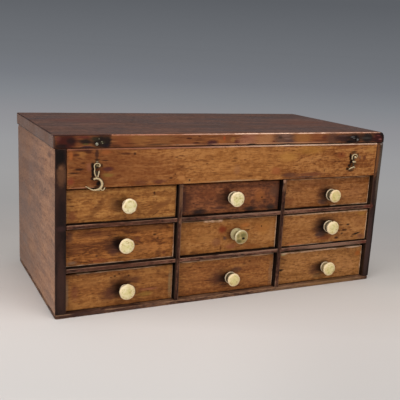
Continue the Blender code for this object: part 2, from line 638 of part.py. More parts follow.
def knob_profile(knob, radius):
    """Turned knob: domed face, round rim, disc head, waisted neck, base and the spigot behind."""
    face = knob["length"] - knob["dome"]
    rim = knob["rim"]
    under = knob["length"] - knob["head_thickness"]
    dome = [(radius * share, face + knob["dome"] * (1 - share ** 2)) for share in (0, 0.45, 0.75)]
    front_rim = arc((radius - rim, face - rim), rim, 90, 0, 3)
    back_rim = arc((radius - rim, under + rim), rim, 0, -90, 3)
    neck = (knob["neck_radius"], (under + knob["base_thickness"]) / 2)
    base = arc((knob["base_radius"] - rim, knob["base_thickness"] - rim), rim, 90, 0, 2)
    spigot = [(knob["base_radius"], GAP), (SPIGOT_RADIUS, GAP), (SPIGOT_RADIUS, -SPIGOT_LENGTH),
              (0, -SPIGOT_LENGTH)]
    return dome + front_rim + back_rim + [neck] + base + spigot


def walls_outline(left, right, inside, rear):
    """Plan of a drawer's two sides and its back, open towards the front."""
    inner_left, inner_right = left + DRAWER_SIDE_THICKNESS, right - DRAWER_SIDE_THICKNESS
    inner_rear = rear - DRAWER_BACK_THICKNESS
    return [(left, inside), (inner_left, inside), (inner_left, inner_rear), (inner_right, inner_rear),
            (inner_right, inside), (right, inside), (right, rear), (left, rear)]


def drawer(row, column):
    """Drawer: a front with its knob, the sides and back, and the bottom board under them."""
    name = "drawer_" + ROWS[row] + "_" + COLUMNS[column] + "_"
    left = column_left(column) + DRAWER_SIDE_CLEARANCE
    right = column_right(column) - DRAWER_SIDE_CLEARANCE
    foot = ROW_FLOORS[row] + GAP
    top = ROW_FLOORS[row] + ROW_HEIGHTS[row] - DRAWER_TOP_CLEARANCES[row][column]
    face = FRONT + DRAWER_RECESSES[row][column]
    inside = face + DRAWER_FRONT_THICKNESS + GAP
    rear = INNER_BACK - DRAWER_BACK_CLEARANCE
    slide = pivot_empty(name + "slide", ((left + right) / 2, face, (foot + top) / 2))

    finish = RED_WOOD if (row, column) == RED_DRAWER else WARM_WOOD
    front = placed(name + "front", boxes(((left, face, foot), (right, inside - GAP, top))), finish, slide)
    offset_x, offset_z = KNOB_OFFSETS[row][column]
    place = slide.location + Vector((offset_x, 0, offset_z))
    combine(front, "spigot_hole", rods(SPIGOT_RADIUS + GAP, 2 * (SPIGOT_LENGTH + GAP), [place], FACING_FRONT))

    floor = foot + DRAWER_BOTTOM_THICKNESS
    height = top - DRAWER_SIDE_DROP - floor - GAP
    middle = Vector((0, 0, floor + GAP + height / 2))
    placed(name + "walls", plate(walls_outline(left, right, inside, rear), height, middle, UPRIGHT),
           PALE_WOOD, slide)
    placed(name + "bottom", boxes(((left, inside, foot), (right, rear, floor))), PALE_WOOD, slide)

    brass = (row, column) == BRASS_KNOB_DRAWER
    profile = knob_profile(BRASS_KNOB if brass else BONE_KNOB, KNOB_HEAD_RADII[row][column])
    knob = placed(name + "knob", turned(profile, [place], FACING_FRONT, ROUND_STEPS),
                  OLD_BRASS if brass else BONE, slide)
    shaded_smooth(knob)
    if brass:
        pit_x, pit_z = BRASS_PIT_OFFSET
        pit = place + Vector((pit_x, -BRASS_KNOB["length"], pit_z))
        combine(knob, "pit", rods(BRASS_PIT_RADIUS, 2 * BRASS_PIT_DEPTH, [pit], FACING_FRONT))


PARTS, CUTTERS = clear_scene()
bottom_board()
side("left_side", LEFT, INNER_LEFT)
side("right_side", RIGHT, INNER_RIGHT)
back_board()
partition("partition_left", 0)
partition("partition_right", 1)
shelf("upper_shelf", UPPER_SHELF)
shelf("lower_shelf", LOWER_SHELF)
till()
lid_pivot = pivot_empty("lid_pivot", HINGE_AXIS)
lid(lid_pivot)
hinges(lid_pivot)
studs(lid_pivot)
hooks()
for drawer_row in range(len(ROWS)):
    for drawer_column in range(len(COLUMNS)):
        drawer(drawer_row, drawer_column)
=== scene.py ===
"""Looks of an old wooden box: a lidded till over nine small drawers with turned knobs.

Metres, +Z up, front towards -Y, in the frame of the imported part. Colours are written as they show in
plain light, and marks on the front are placed in millimetres from the middle of the foot.
"""
import json
import math

import bpy
import numpy as np
from mathutils import Matrix, Vector


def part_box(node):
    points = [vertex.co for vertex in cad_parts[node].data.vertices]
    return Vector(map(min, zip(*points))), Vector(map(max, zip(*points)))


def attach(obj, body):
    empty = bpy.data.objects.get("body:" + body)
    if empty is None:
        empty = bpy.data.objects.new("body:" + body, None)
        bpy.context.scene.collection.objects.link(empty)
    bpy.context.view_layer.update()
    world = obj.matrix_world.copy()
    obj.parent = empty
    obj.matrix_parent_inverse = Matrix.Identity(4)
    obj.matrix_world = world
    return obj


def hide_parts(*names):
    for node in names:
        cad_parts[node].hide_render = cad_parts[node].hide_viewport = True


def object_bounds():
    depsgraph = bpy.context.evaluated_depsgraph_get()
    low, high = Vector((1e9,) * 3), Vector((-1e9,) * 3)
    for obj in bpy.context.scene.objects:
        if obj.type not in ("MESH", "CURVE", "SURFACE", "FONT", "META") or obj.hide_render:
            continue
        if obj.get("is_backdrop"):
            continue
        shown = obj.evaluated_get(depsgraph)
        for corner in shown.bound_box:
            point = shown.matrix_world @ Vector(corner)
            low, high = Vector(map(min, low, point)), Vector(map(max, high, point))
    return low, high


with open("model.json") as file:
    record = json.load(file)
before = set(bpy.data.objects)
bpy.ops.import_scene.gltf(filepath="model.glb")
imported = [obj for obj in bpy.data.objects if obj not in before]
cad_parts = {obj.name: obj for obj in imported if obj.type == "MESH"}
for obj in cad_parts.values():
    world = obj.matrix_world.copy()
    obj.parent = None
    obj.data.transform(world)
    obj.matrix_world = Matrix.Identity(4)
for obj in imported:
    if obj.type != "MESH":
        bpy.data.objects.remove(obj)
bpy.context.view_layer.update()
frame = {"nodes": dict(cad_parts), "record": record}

# Bottom board
# One thin dark board under the whole case, glued up to the sides and the back. Only its front edge
# shows from the front, a narrow strip that is rubbed paler towards the right.

MM = 0.001
ARRIS = 0.0006
MARK_DEPTH = 0.02
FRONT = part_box("front_rail")[0].y
BODY_OF = {node: body for body, nodes in frame["record"]["behaviour"]["bodies"].items() for node in nodes}


def ripple(along, longest, seed):
    """Unevenness from -1 to 1 along a line: five sine waves with random phases, each half as long as
    the one before it and two thirds as strong."""
    step = np.arange(5)
    phase = np.random.default_rng(seed).uniform(0, 2 * np.pi, 5)
    strength = 0.66 ** step
    waves = np.sin(2 * np.pi * along[:, None] * 2.0 ** step / longest + phase)
    return (waves * strength).sum(1) / strength.sum()


def edge_line(corners, pitch):
    """Outline through corners (across, up, radius), anticlockwise, as points, outward normals, the
    deepest arris that each point can carry, and the way along.

    A point of a corner's arc is the arc's centre plus the radius times the normal, which turns from
    that of the side before to that of the side after. Straights have a point about every pitch."""
    corners = np.array(corners, float)
    tips, radii = corners[:, :2], corners[:, 2:]
    ahead = np.roll(tips, -1, 0) - tips
    ahead /= np.linalg.norm(ahead, axis=1)[:, None]
    after = np.stack([ahead[:, 1], -ahead[:, 0]], 1)
    before = np.roll(after, 1, 0)
    turn = before[:, 0] * after[:, 1] - before[:, 1] * after[:, 0]
    bulge = np.where(turn < -1e-9, -1.0, 1.0)[:, None]
    mitre = (before + after) / (1 + (before * after).sum(1))[:, None]
    centres = tips - bulge * radii * mitre
    starts, ends = centres + bulge * radii * before, centres + bulge * radii * after
    points, normals, limits = [], [], []
    for k, radius in enumerate(radii[:, 0]):
        share = np.linspace(0, 1, 6 if radius > 0 else 1)[:, None]
        arc = before[k] * (1 - share) + after[k] * share
        arc /= np.linalg.norm(arc, axis=1)[:, None]
        arc = arc if radius > 0 else mitre[k][None]
        run = starts[(k + 1) % len(tips)] - ends[k]
        count = max(1, round(np.linalg.norm(run) / pitch))
        share = np.arange(1, count)[:, None] / count
        points += [centres[k] + bulge[k] * radius * arc, ends[k] + share * run]
        normals += [arc, np.repeat(after[k][None], count - 1, 0)]
        deepest = 0.98 * radius if radius > 0 and turn[k] > 0 else 1.0
        limits += [np.full(len(arc), deepest), np.ones(count - 1)]
    points = np.concatenate(points)
    along = np.linalg.norm(points - np.roll(points, 1, 0), axis=1).cumsum()
    return points, np.concatenate(normals), np.concatenate(limits), along


def arris(line, size, seed, hollows=()):
    """How far an arris stands in from the outline and down the side, at each point. The size wanders
    by a half. Each hollow (across, up, reach, in, down) adds a ragged dip that ends at its reach."""
    points, _, limits, along = line
    inset = size * (1 + 0.5 * ripple(along, 0.09, seed))
    down = inset.copy()
    rag = 1 + 0.4 * ripple(along, 0.007, seed + 1)
    for across, up, reach, dig, drop in hollows:
        away = np.hypot(points[:, 0] - across, points[:, 1] - up) / reach
        dip = np.clip(1 - away ** 2, 0, None) ** 0.7 * rag
        inset, down = inset + dig * dip, down + drop * dip
    return np.minimum(inset, limits), down


def board_rings(line, low, high, near, far):
    """Rings that carry an outline from its low face to its high one. Each arris is a quarter of an
    ellipse: at angle t it stands in (1 - sin t) of its inset and down (1 - cos t) of its depth."""
    points, normals = line[:2]
    angle = np.linspace(0, np.pi / 2, 5)[:, None]
    ends = []
    for (inset, down), face, way in ((near, low, 1), (far, high, -1)):
        flat = points - normals * (inset * (1 - np.sin(angle)))[..., None]
        level = face + way * down * (1 - np.cos(angle))
        ends.append(np.concatenate([flat, level[..., None]], 2))
    return np.concatenate([ends[0], ends[1][::-1]])


def solid_angle(corners):
    """Six times the volume between the origin and a row of faces of equal corner counts, each parted
    in triangles from its first corner."""
    return (np.cross(corners[:, 1:-1], corners[:, 2:]) * corners[:, :1]).sum()


def shells(name, stacks):
    """Object made of closed shells. A shell is a stack of rings: neighbouring rings are joined by
    four-cornered faces, each end is closed by one face, and it is turned if it came out inside out."""
    points, faces, smooth, base = [], [], [], 0
    for rings in stacks:
        count, around = rings.shape[:2]
        index = np.arange(count * around).reshape(count, around)
        low, high = index[:-1], index[1:]
        quads = np.stack([low, np.roll(low, -1, 1), np.roll(high, -1, 1), high], -1).reshape(-1, 4)
        caps = np.stack([index[0][::-1], index[-1]])
        flat = rings.reshape(-1, 3)
        centred = flat - flat.mean(0)
        if solid_angle(centred[quads]) + solid_angle(centred[caps]) < 0:
            quads, caps = quads[:, ::-1], caps[:, ::-1]
        points.append(flat)
        faces += (quads + base).tolist() + (caps + base).tolist()
        smooth += [True] * len(quads) + [False] * len(caps)
        base += len(flat)
    mesh = bpy.data.meshes.new(name)
    mesh.from_pydata(np.concatenate(points).tolist(), [], faces)
    mesh.polygons.foreach_set("use_smooth", smooth)
    mesh.update()
    made = bpy.data.objects.new(name, mesh)
    bpy.context.scene.collection.objects.link(made)
    return made


def tint(code):
    """Shader colour of a shade written as it shows, RRGGBB."""
    shown = np.array([int(code[k:k + 2], 16) for k in (0, 2, 4)]) / 255
    light = np.where(shown <= 0.04045, shown / 12.92, ((shown + 0.055) / 1.055) ** 2.4)
    return (*light.tolist(), 1.0)


class Nodes:
    """Nodes of a material or of the air, each fed as it is added."""

    def __init__(self, tree):
        self.tree = tree

    def add(self, kind, sockets=None, **options):
        """New node, its sockets fed with values or with other nodes' outputs."""
        made = self.tree.nodes.new("ShaderNode" + kind)
        for option, value in options.items():
            setattr(made, option, value)
        for socket, value in (sockets or {}).items():
            if isinstance(value, bpy.types.NodeSocket):
                self.tree.links.new(value, made.inputs[socket])
            else:
                made.inputs[socket].default_value = value
        return made

    def sum(self, operation, *values):
        return self.add("Math", dict(enumerate(values)), operation=operation).outputs[0]

    def times(self, product, *shares):
        for share in shares:
            product = self.sum("MULTIPLY", product, share)
        return product

    def fade(self, value, start, end, first=0.0, last=1.0):
        """Eases from first to last while the value goes from start to end."""
        return self.add("MapRange", {0: value, 1: start, 2: end, 3: first, 4: last},
                        interpolation_type="SMOOTHSTEP").outputs[0]

    def ramp(self, value, stops):
        """Colour of a value between stops, each a value and its shade."""
        made = self.add("ValToRGB", {0: value})
        points = made.color_ramp.elements
        points[1].position = stops[-1][0]
        points[0].position = stops[0][0]
        for position, _ in stops[1:-1]:
            points.new(position)
        for point, (_, shade) in zip(points, stops):
            point.color = tint(shade)
        return made.outputs[0]


class Finish(Nodes):
    """A material in the making: its nodes, the place on the piece, and the colour it has so far."""

    def __init__(self, name, roughness=0.5, metallic=0.0, gloss=0.25):
        self.material = bpy.data.materials.new(name)
        self.material.use_nodes = True
        super().__init__(self.material.node_tree)
        self.shader = self.tree.nodes["Principled BSDF"]
        self.shader.inputs["Metallic"].default_value = metallic
        self.shader.inputs["Roughness"].default_value = roughness
        self.shader.inputs["Specular IOR Level"].default_value = gloss
        self.place = self.add("TexCoord").outputs["Object"]
        self.x, self.y, self.z = self.add("SeparateXYZ", {0: self.place}).outputs
        self.colour = None
        self.rag = None

    def arrow(self, operation, *values):
        made = self.add("VectorMath", dict(enumerate(values)), operation=operation)
        return made.outputs["Value" if operation == "LENGTH" else "Vector"]

    def mottle(self, stretch, detail=3.0, place=None, roughness=0.55):
        """Cloudy pattern from 0 to 1, with stretch patches to the metre on each axis."""
        stretch = stretch if isinstance(stretch, tuple) else (stretch,) * 3
        spread = self.arrow("MULTIPLY", self.place if place is None else place, stretch)
        return self.add("TexNoise", {"Vector": spread, "Scale": 1.0, "Detail": detail,
                                     "Roughness": roughness}).outputs[0]

    def ragged(self, stretch, place=None):
        """Keeps the pattern that frays the borders of marks."""
        self.rag = self.sum("SUBTRACT", self.mottle(stretch, 3, place), 0.5)

    def blend(self, share, first, second):
        """Takes the colour that lies a share of the way from one shade to another."""
        self.colour = tint(first)
        self.layer(share, second)

    def layer(self, share, over, way="MIX"):
        """Lays a colour over the one so far."""
        over = tint(over) if isinstance(over, str) else over
        made = self.add("Mix", {0: share, 6: self.colour, 7: over}, data_type="RGBA", blend_type=way)
        self.colour = made.outputs[2]

    def ragged_mark(self, spot, size, over, share, lean=0.0):
        """Mark with a ragged border: full in its middle, gone at its half sizes, leaning about Y. Marks are
        stains and grime, and also painted shadow, shade and glints.
        """
        spread = self.add("Mapping", {"Vector": self.place, "Location": spot, "Scale": size,
                                      "Rotation": (0, lean, 0)}, vector_type="TEXTURE").outputs[0]
        away = self.sum("MULTIPLY_ADD", self.rag, 0.6, self.arrow("LENGTH", spread))
        self.layer(self.fade(away, 1.0, 0.3, 0.0, share), over)

    def ragged_marks(self, *marks):
        for mark in marks:
            self.ragged_mark(*mark)

    def front_marks(self, marks):
        """Marks on the front, in millimetres: x, z, half width, half height, shade, share, lean."""
        for x, z, wide, high, over, share, *lean in marks:
            size = (wide * MM, MARK_DEPTH, high * MM)
            self.ragged_mark((x * MM, FRONT, z * MM), size, over, share, math.radians(sum(lean)))

    def edge_distance(self, low, high):
        """How far the nearest edge of a box is: the middle one of the distances to its pairs of faces."""
        middle, half = (low + high) / 2, (high - low) / 2
        gap = self.arrow("SUBTRACT", half, self.arrow("ABSOLUTE", self.arrow("SUBTRACT", self.place, middle)))
        x, y, z = self.add("SeparateXYZ", {0: gap}).outputs
        lower, upper = self.sum("MINIMUM", x, y), self.sum("MAXIMUM", x, y)
        return self.sum("MAXIMUM", lower, self.sum("MINIMUM", upper, z))

    def edge_wear_grime_and_shade(self, low, high, width, over, share, patches=0.5):
        """Edges of a box that come and go along its length, in the colour given: worn, grimy, or dark as
        painted shade.
        """
        wander = self.sum("MULTIPLY_ADD", self.rag, -0.6 * width, self.edge_distance(low, high))
        come_and_go = self.fade(self.mottle(45, 2), 0.62 - patches * 0.4, 0.66 - patches * 0.2)
        self.layer(self.times(self.fade(wander, width, 0.2 * width, 0.0, share), come_and_go), over)

    def edge_stretch_wear_and_shade(self, low, high, edge, start, end, width, over, share):
        """Stretch of one edge of a front, from a start to an end share of its length, ragged and patchy, in
        the
        colour given: pale wood where it is rubbed through, dark painted shade along a drawer's foot."""
        if edge in ("left", "right"):
            across, along, first, last = self.x, self.z, low.z, high.z
            level = low.x if edge == "left" else high.x
        else:
            across, along, first, last = self.z, self.x, low.x, high.x
            level = low.z if edge == "foot" else high.z
        away = self.sum("ABSOLUTE", self.sum("SUBTRACT", across, level))
        away = self.sum("MULTIPLY_ADD", self.rag, 1.2 * width, away)
        begin, stop, ease = first + start * (last - first), first + end * (last - first), 1.5 * MM
        self.layer(self.times(self.fade(away, width, 0.45 * width, 0.0, share),
                              self.fade(self.mottle(90, 2), 0.40, 0.56, 0.30, 1.0),
                              self.fade(along, begin - ease, begin + ease),
                              self.fade(along, stop + ease, stop - ease)), over)

    def grime_and_shade_inside(self, value, start, end):
        """Grime and old staining, with painted shade, inside the case where little light reaches, from a
        start to an end of a value.
        """
        self.layer(self.fade(value, start, end, 0.0, 0.95), "090504")

    def feed(self, socket, value):
        self.tree.links.new(value, self.shader.inputs[socket])

    def emboss(self, height, strength, distance):
        """Fine relief of the surface."""
        bump = self.add("Bump", {"Strength": strength, "Distance": distance, "Height": height})
        self.feed("Normal", bump.outputs[0])

    def done(self):
        """Feeds the colour to the shader and gives the material."""
        self.feed("Base Color", self.colour)
        return self.material


ALONG_X, ALONG_Y, ALONG_Z = (0.0, 0.0, 0.0), (0.0, 0.0, -math.pi / 2), (0.0, math.pi / 2, 0.0)


def wood(name, dark, middle, light, seed, turn=ALONG_X, shine=0.46, cloudy=0.45, lines=0.60, flecks=0.6,
         dashes=0.45, streaks=0.70, gloss=0.13):
    """Old close-grained wood: streaks a few millimetres wide, short fibres, dark flecks and pores that run
    with the grain, over slow cloudy changes of tone. Fibres also stand up a little and flecks sink in."""
    finish = Finish(name, gloss=gloss)
    lay = finish.add("Mapping", {"Vector": finish.place, "Rotation": turn,
                                 "Location": (0.37 * seed, 0.11 * seed, 0.23 * seed)}).outputs[0]
    wander = finish.add("TexNoise", {"Vector": lay, "Scale": 16.0, "Detail": 2.0}).outputs[1]
    lay = finish.arrow("MULTIPLY_ADD", wander, (0.0, 0.009, 0.009), lay)
    streak = finish.mottle((14, 170, 170), 4, lay, 0.62)
    fibre = finish.mottle((110, 620, 620), 3, lay)
    cloud = finish.mottle((22, 42, 42), 3, lay)
    tone = 0.3 - (cloudy + lines + streaks) / 2
    speck = finish.mottle((330, 420, 420), 2)
    for pattern, share in ((cloud, cloudy), (fibre, lines), (streak, streaks), (speck, 0.40)):
        tone = finish.sum("MULTIPLY_ADD", pattern, share, tone)
    finish.colour = finish.ramp(tone, ((0.38, dark), (0.5, middle), (0.62, light)))
    dash = finish.mottle((150, 950, 950), 1, lay)
    finish.layer(finish.fade(dash, 0.55, 0.66, 0.0, dashes), dark)
    finish.layer(finish.fade(dash, 0.45, 0.34, 0.0, 0.8 * dashes), light)
    pit = finish.fade(finish.mottle((170, 1150, 1150), 2, lay), 0.43, 0.33)
    finish.layer(finish.times(pit, flecks), dark, "MULTIPLY")
    finish.ragged((130, 480, 480), lay)
    finish.emboss(finish.sum("MULTIPLY_ADD", pit, -0.6, finish.sum("ADD", fibre, streak)), 0.35, 0.0004)
    finish.polish = finish.fade(cloud, 0.3, 0.7, shine - 0.07, shine + 0.1)
    finish.feed("Roughness", finish.polish)
    return finish


def stand_in(made, node, material):
    """Lets a new piece stand for a solid, on the body that carries the solid."""
    made.data.materials.append(material)
    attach(made, BODY_OF[node])
    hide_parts(node)


FACES = {"xy": (0, 1, 2), "xz": (0, 2, 1), "yz": (2, 0, 1)}


def board(node, plane, size, seed, near=(), corners=None, radius=ARRIS, pitch=0.002):
    """Board in the place of a solid one, with worn arrises. The plane holds its outline, which is the
    solid's own rectangle unless corners are given, and its thickness runs along the third axis."""
    low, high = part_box(node)
    across, up, deep = [FACES[plane].index(k) for k in range(3)]
    if corners is None:
        corners = [(x, y, radius) for x, y in ((low[across], low[up]), (high[across], low[up]),
                                               (high[across], high[up]), (low[across], high[up]))]
    line = edge_line(corners, pitch)
    near, far = arris(line, size, seed, near), arris(line, size, seed + 50)
    rings = board_rings(line, low[deep], high[deep], near, far)
    return shells(node + "_board", [rings[..., FACES[plane]]])


bottom_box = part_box("bottom_board")
bottom_wood = wood("bottom_edge_wood", "37211a", "583b2c", "7b583f", 3, shine=0.55)
bottom_wood.front_marks([(120, 2, 55, 3, "85603a", 0.65), (60, 1, 30, 2, "745b44", 0.5),
                         (-130, 2, 70, 3, "3a241f", 0.55), (-150, 3, 25, 3, "351f19", 0.6)])
bottom_wood.edge_wear_grime_and_shade(*bottom_box, 0.0010, "8f6d52", 0.5)
made = board("bottom_board", "xy", ARRIS, 11, radius=0.0022)
stand_in(made, "bottom_board", bottom_wood.done())

# Sides
# Two upright end boards of brown wood, grain from front to back, standing on the bottom board. Their
# front edges were stained nearly black. The rear top corner is planed off so that the lid can fall back.

HINGE_Y = sum(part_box("hinge_left_pin")[k].y for k in (0, 1)) / 2
HALF_GAP = 0.00015
STOP_SLOPE = math.tan(math.radians(51))
WORN_ARRIS = 0.0008
SIDE_MARKS = {
    "left_side": [
        (-164.8, 127, 5.4, 13, "62402a", 0.8), (-165, 133, 3, 3, "7a5236", 0.4),
        (-166, 142, 6, 9, "0e0705", 0.9), (-165, 34, 5, 44, "3f2821", 0.6), (-165, 92, 5, 24, "150c0c", 0.6),
        (-165, 81, 6, 3.4, "3a2422", 0.6)],
    "right_side": [
        (167.5, 147.4, 2.6, 1.2, "8f8078", 0.8), (164, 132, 4.8, 26, "74492a", 0.85),
        (168.5, 118, 3.4, 46, "564a40", 0.8), (162.8, 132, 0.9, 18, "2c160a", 0.7),
        (165, 40, 5, 54, "44302c", 0.65), (162, 82, 5, 4, "5c2b1d", 0.7)],
}

for node, seed, outer in (("left_side", 5, 0), ("right_side", 8, 1)):
    low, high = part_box(node)
    planed = (high.y - HINGE_Y + HALF_GAP) * STOP_SLOPE
    corners = [(low.y, low.z, WORN_ARRIS), (high.y, low.z, ARRIS), (high.y, high.z - planed, ARRIS),
               (HINGE_Y - HALF_GAP, high.z, ARRIS), (low.y, high.z, WORN_ARRIS)]
    side = wood(node + "_wood", "73513e", "966d53", "ae8263", seed, ALONG_Y, 0.42, 0.36, 0.16, 0.4, 0.2, 0.42)
    side.layer(side.fade(side.y, -0.070, 0.082, 0.0, 0.62), "644b3f")
    outer_face, inner_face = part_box(node)[outer].x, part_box(node)[1 - outer].x
    side.ragged_marks(((outer_face, -0.062, 0.141), (0.02, 0.008, 0.004), "533b31", 0.6),
                ((outer_face, 0.03, 0.114), (0.02, 0.05, 0.006), "61493f", 0.5),
                ((outer_face, -0.074, 0.118), (0.02, 0.02, 0.008), "694939", 0.5))
    side.edge_wear_grime_and_shade(low, high, 0.0011, "b78d6d", 0.35)
    plain = side.colour
    side.blend(side.fade(side.mottle((90, 90, 30), 3), 0.36, 0.68), "160a07", "2e1b15")
    side.front_marks(SIDE_MARKS[node])
    side.edge_wear_grime_and_shade(low, high, 0.0007, "55382c", 0.5)
    edge, side.colour = side.colour, plain
    side.layer(side.fade(side.y, FRONT + 0.0016, FRONT + 0.0004), edge)
    way = 0.0001 if outer else -0.0001
    case_inside = side.fade(side.x, inner_face + 7 * way, inner_face + 2 * way)
    # Inner face near the front: grime with painted shade.
    side.grime_and_shade_inside(side.times(case_inside, side.fade(side.y, FRONT + 0.0004, FRONT + 0.0014)), 0.0, 1.0)
    nick = [] if outer else [(low.y, 0.0085, 0.0035, 0.0012, 0.0009)]
    stand_in(board(node, "yz", ARRIS, seed, nick, corners), node, side.done())

# Back and till floor
# Plain inside boards that the maker didn't polish: the back between the sides, with its top edge
# planed and let in for the hinges, and the floor of the till under the lid.


def dress(node, material):
    """Gives a solid that stays in view its finish."""
    frame["nodes"][node].data.materials.clear()
    frame["nodes"][node].data.materials.append(material)


back = wood("back_wood", "5c4436", "7b5d49", "94745c", 21, ALONG_X, 0.55, 0.4)
back.ragged_marks(((-0.06, 0.0825, 0.09), (0.07, 0.02, 0.03), "54402f", 0.5),
            ((0.1, 0.0825, 0.03), (0.05, 0.02, 0.02), "5a4638", 0.5))
back.edge_wear_grime_and_shade(*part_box("back_board"), 0.0012, "a08468", 0.4)
dress("back_board", back.done())
till = wood("till_floor_wood", "6b4a30", "8d6644", "a9825c", 24, ALONG_X, 0.6, 0.35)
till.ragged_mark((-0.09, -0.02, 0.118), (0.05, 0.03, 0.02), "4f3726", 0.5)
till.edge_wear_grime_and_shade(*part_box("till_floor"), 0.006, "3f2c20", 0.7, 0.9)
dress("till_floor", till.done())

# Partitions and shelves
# Thin uprights and shelves that cross in halving joints: the shelves are slotted from the front over
# the uprights, so only the uprights' front edges run through. Every front edge is rounded by wear.

HALVING = (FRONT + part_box("back_board")[0].y) / 2
SLACK = 0.0003
SHELVES = [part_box("lower_shelf"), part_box("upper_shelf")]
UPRIGHTS = [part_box("partition_left"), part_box("partition_right")]
STOP = FRONT + 0.012
SHARP = 0.0003
ROUNDED = 0.0005


def edge_wood(name, box, seed, dark, middle, light, turn):
    """Dark wood of the thin boards, rubbed pale along its front arrises; grime and painted shade inside the
    case are laid on after.
    """
    finish = wood(name, dark, middle, light, seed, turn, 0.52, 0.3, 0.3)
    finish.edge_wear_grime_and_shade(*box, 0.0008, "a07a62", 0.6, 0.7)
    return finish


# Marks of each upright, from its middle line, and the chip at the head of the right one. The long thin
# dark marks along an upright's arrises are painted shade of the gaps beside the drawers, with grime.
UPRIGHT_MARKS = {
    "partition_left": ([(0, 104, 4, 14, "6d4b32", 0.75), (0, 62, 3, 16, "46271d", 0.4),
                        (1.5, 20, 1.2, 20, "210f0b", 0.7), (-1.9, 60, 1.2, 220, "1a0b06", 0.9)], ()),
    "partition_right": ([(-1.6, 60, 1.3, 60, "200f0a", 0.85), (0.5, 108, 2, 8, "7d5637", 0.7),
                         (-0.6, 113, 1.6, 3, "a37c63", 0.8)], [(FRONT, 0.113, 0.006, 0.0008, 0.0012)]),
}
for node, seed in (("partition_left", 31), ("partition_right", 34)):
    low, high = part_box(node)
    foot, head = bottom_box[1].z + SLACK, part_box("front_rail")[0].z - SLACK
    corners = [(low.y, foot, ROUNDED), (STOP, foot, SHARP), (STOP, low.z, SHARP), (high.y, low.z, SHARP)]
    for shelf_low, shelf_high in SHELVES:
        under, over = shelf_low.z - SLACK, shelf_high.z + SLACK
        corners += [(high.y, under, SHARP), (HALVING, under, 0), (HALVING, over, 0), (high.y, over, SHARP)]
    corners += [(high.y, high.z, SHARP), (STOP, high.z, SHARP), (STOP, head, SHARP), (low.y, head, ROUNDED)]
    upright = edge_wood(node + "_wood", (low, high), seed, "2b150d", "4a2b1d", "6e4a37", ALONG_Z)
    middle_x = (low.x + high.x) / 2 / MM
    marks, chip = UPRIGHT_MARKS[node]
    upright.front_marks([(middle_x + x, *rest) for x, *rest in marks])
    # Faces inside the case behind the front edge: grime with painted shade.
    upright.grime_and_shade_inside(upright.y, FRONT + 0.0002, FRONT + 0.0009)
    stand_in(board(node, "yz", ROUNDED, seed, chip, corners), node, upright.done())

for node, seed in (("upper_shelf", 41), ("lower_shelf", 44)):
    low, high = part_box(node)
    start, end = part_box("left_side")[1].x + SLACK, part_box("right_side")[0].x - SLACK
    corners = [(start, low.y, SHARP)]
    for upright_low, upright_high in UPRIGHTS:
        near, far = upright_low.x - SLACK, upright_high.x + SLACK
        corners += [(near, low.y, SHARP), (near, HALVING + SLACK, 0.0), (far, HALVING + SLACK, 0.0),
                    (far, low.y, SHARP)]
    corners += [(x, y, SHARP) for x, y in ((end, low.y), (end, STOP), (high.x, STOP), (high.x, high.y),
                                           (low.x, high.y), (low.x, STOP), (start, STOP))]
    shelf = edge_wood(node + "_wood", (low, high), seed, "2c1710", "573324", "7c5442", ALONG_X)
    middle_z = (low.z + high.z) / 2 / MM
    if node == "lower_shelf":
        shelf.front_marks([(-110, middle_z, 50, 3, "43281f", 0.5), (112, middle_z, 54, 3, "9a7560", 0.6)])
    shelf.front_marks([(-110, middle_z, 50, 3, "52301f", 0.4), (20, middle_z + 0.8, 60, 1.2, "8a6a58", 0.6),
                       (158, middle_z, 6, 3, "5f281d", 0.6)])
    # Faces inside the case behind the front edge: grime with painted shade.
    shelf.grime_and_shade_inside(shelf.y, FRONT + 0.0002, FRONT + 0.0010)
    stand_in(board(node, "xy", ROUNDED, seed, (), corners, pitch=0.0015), node, shelf.done())
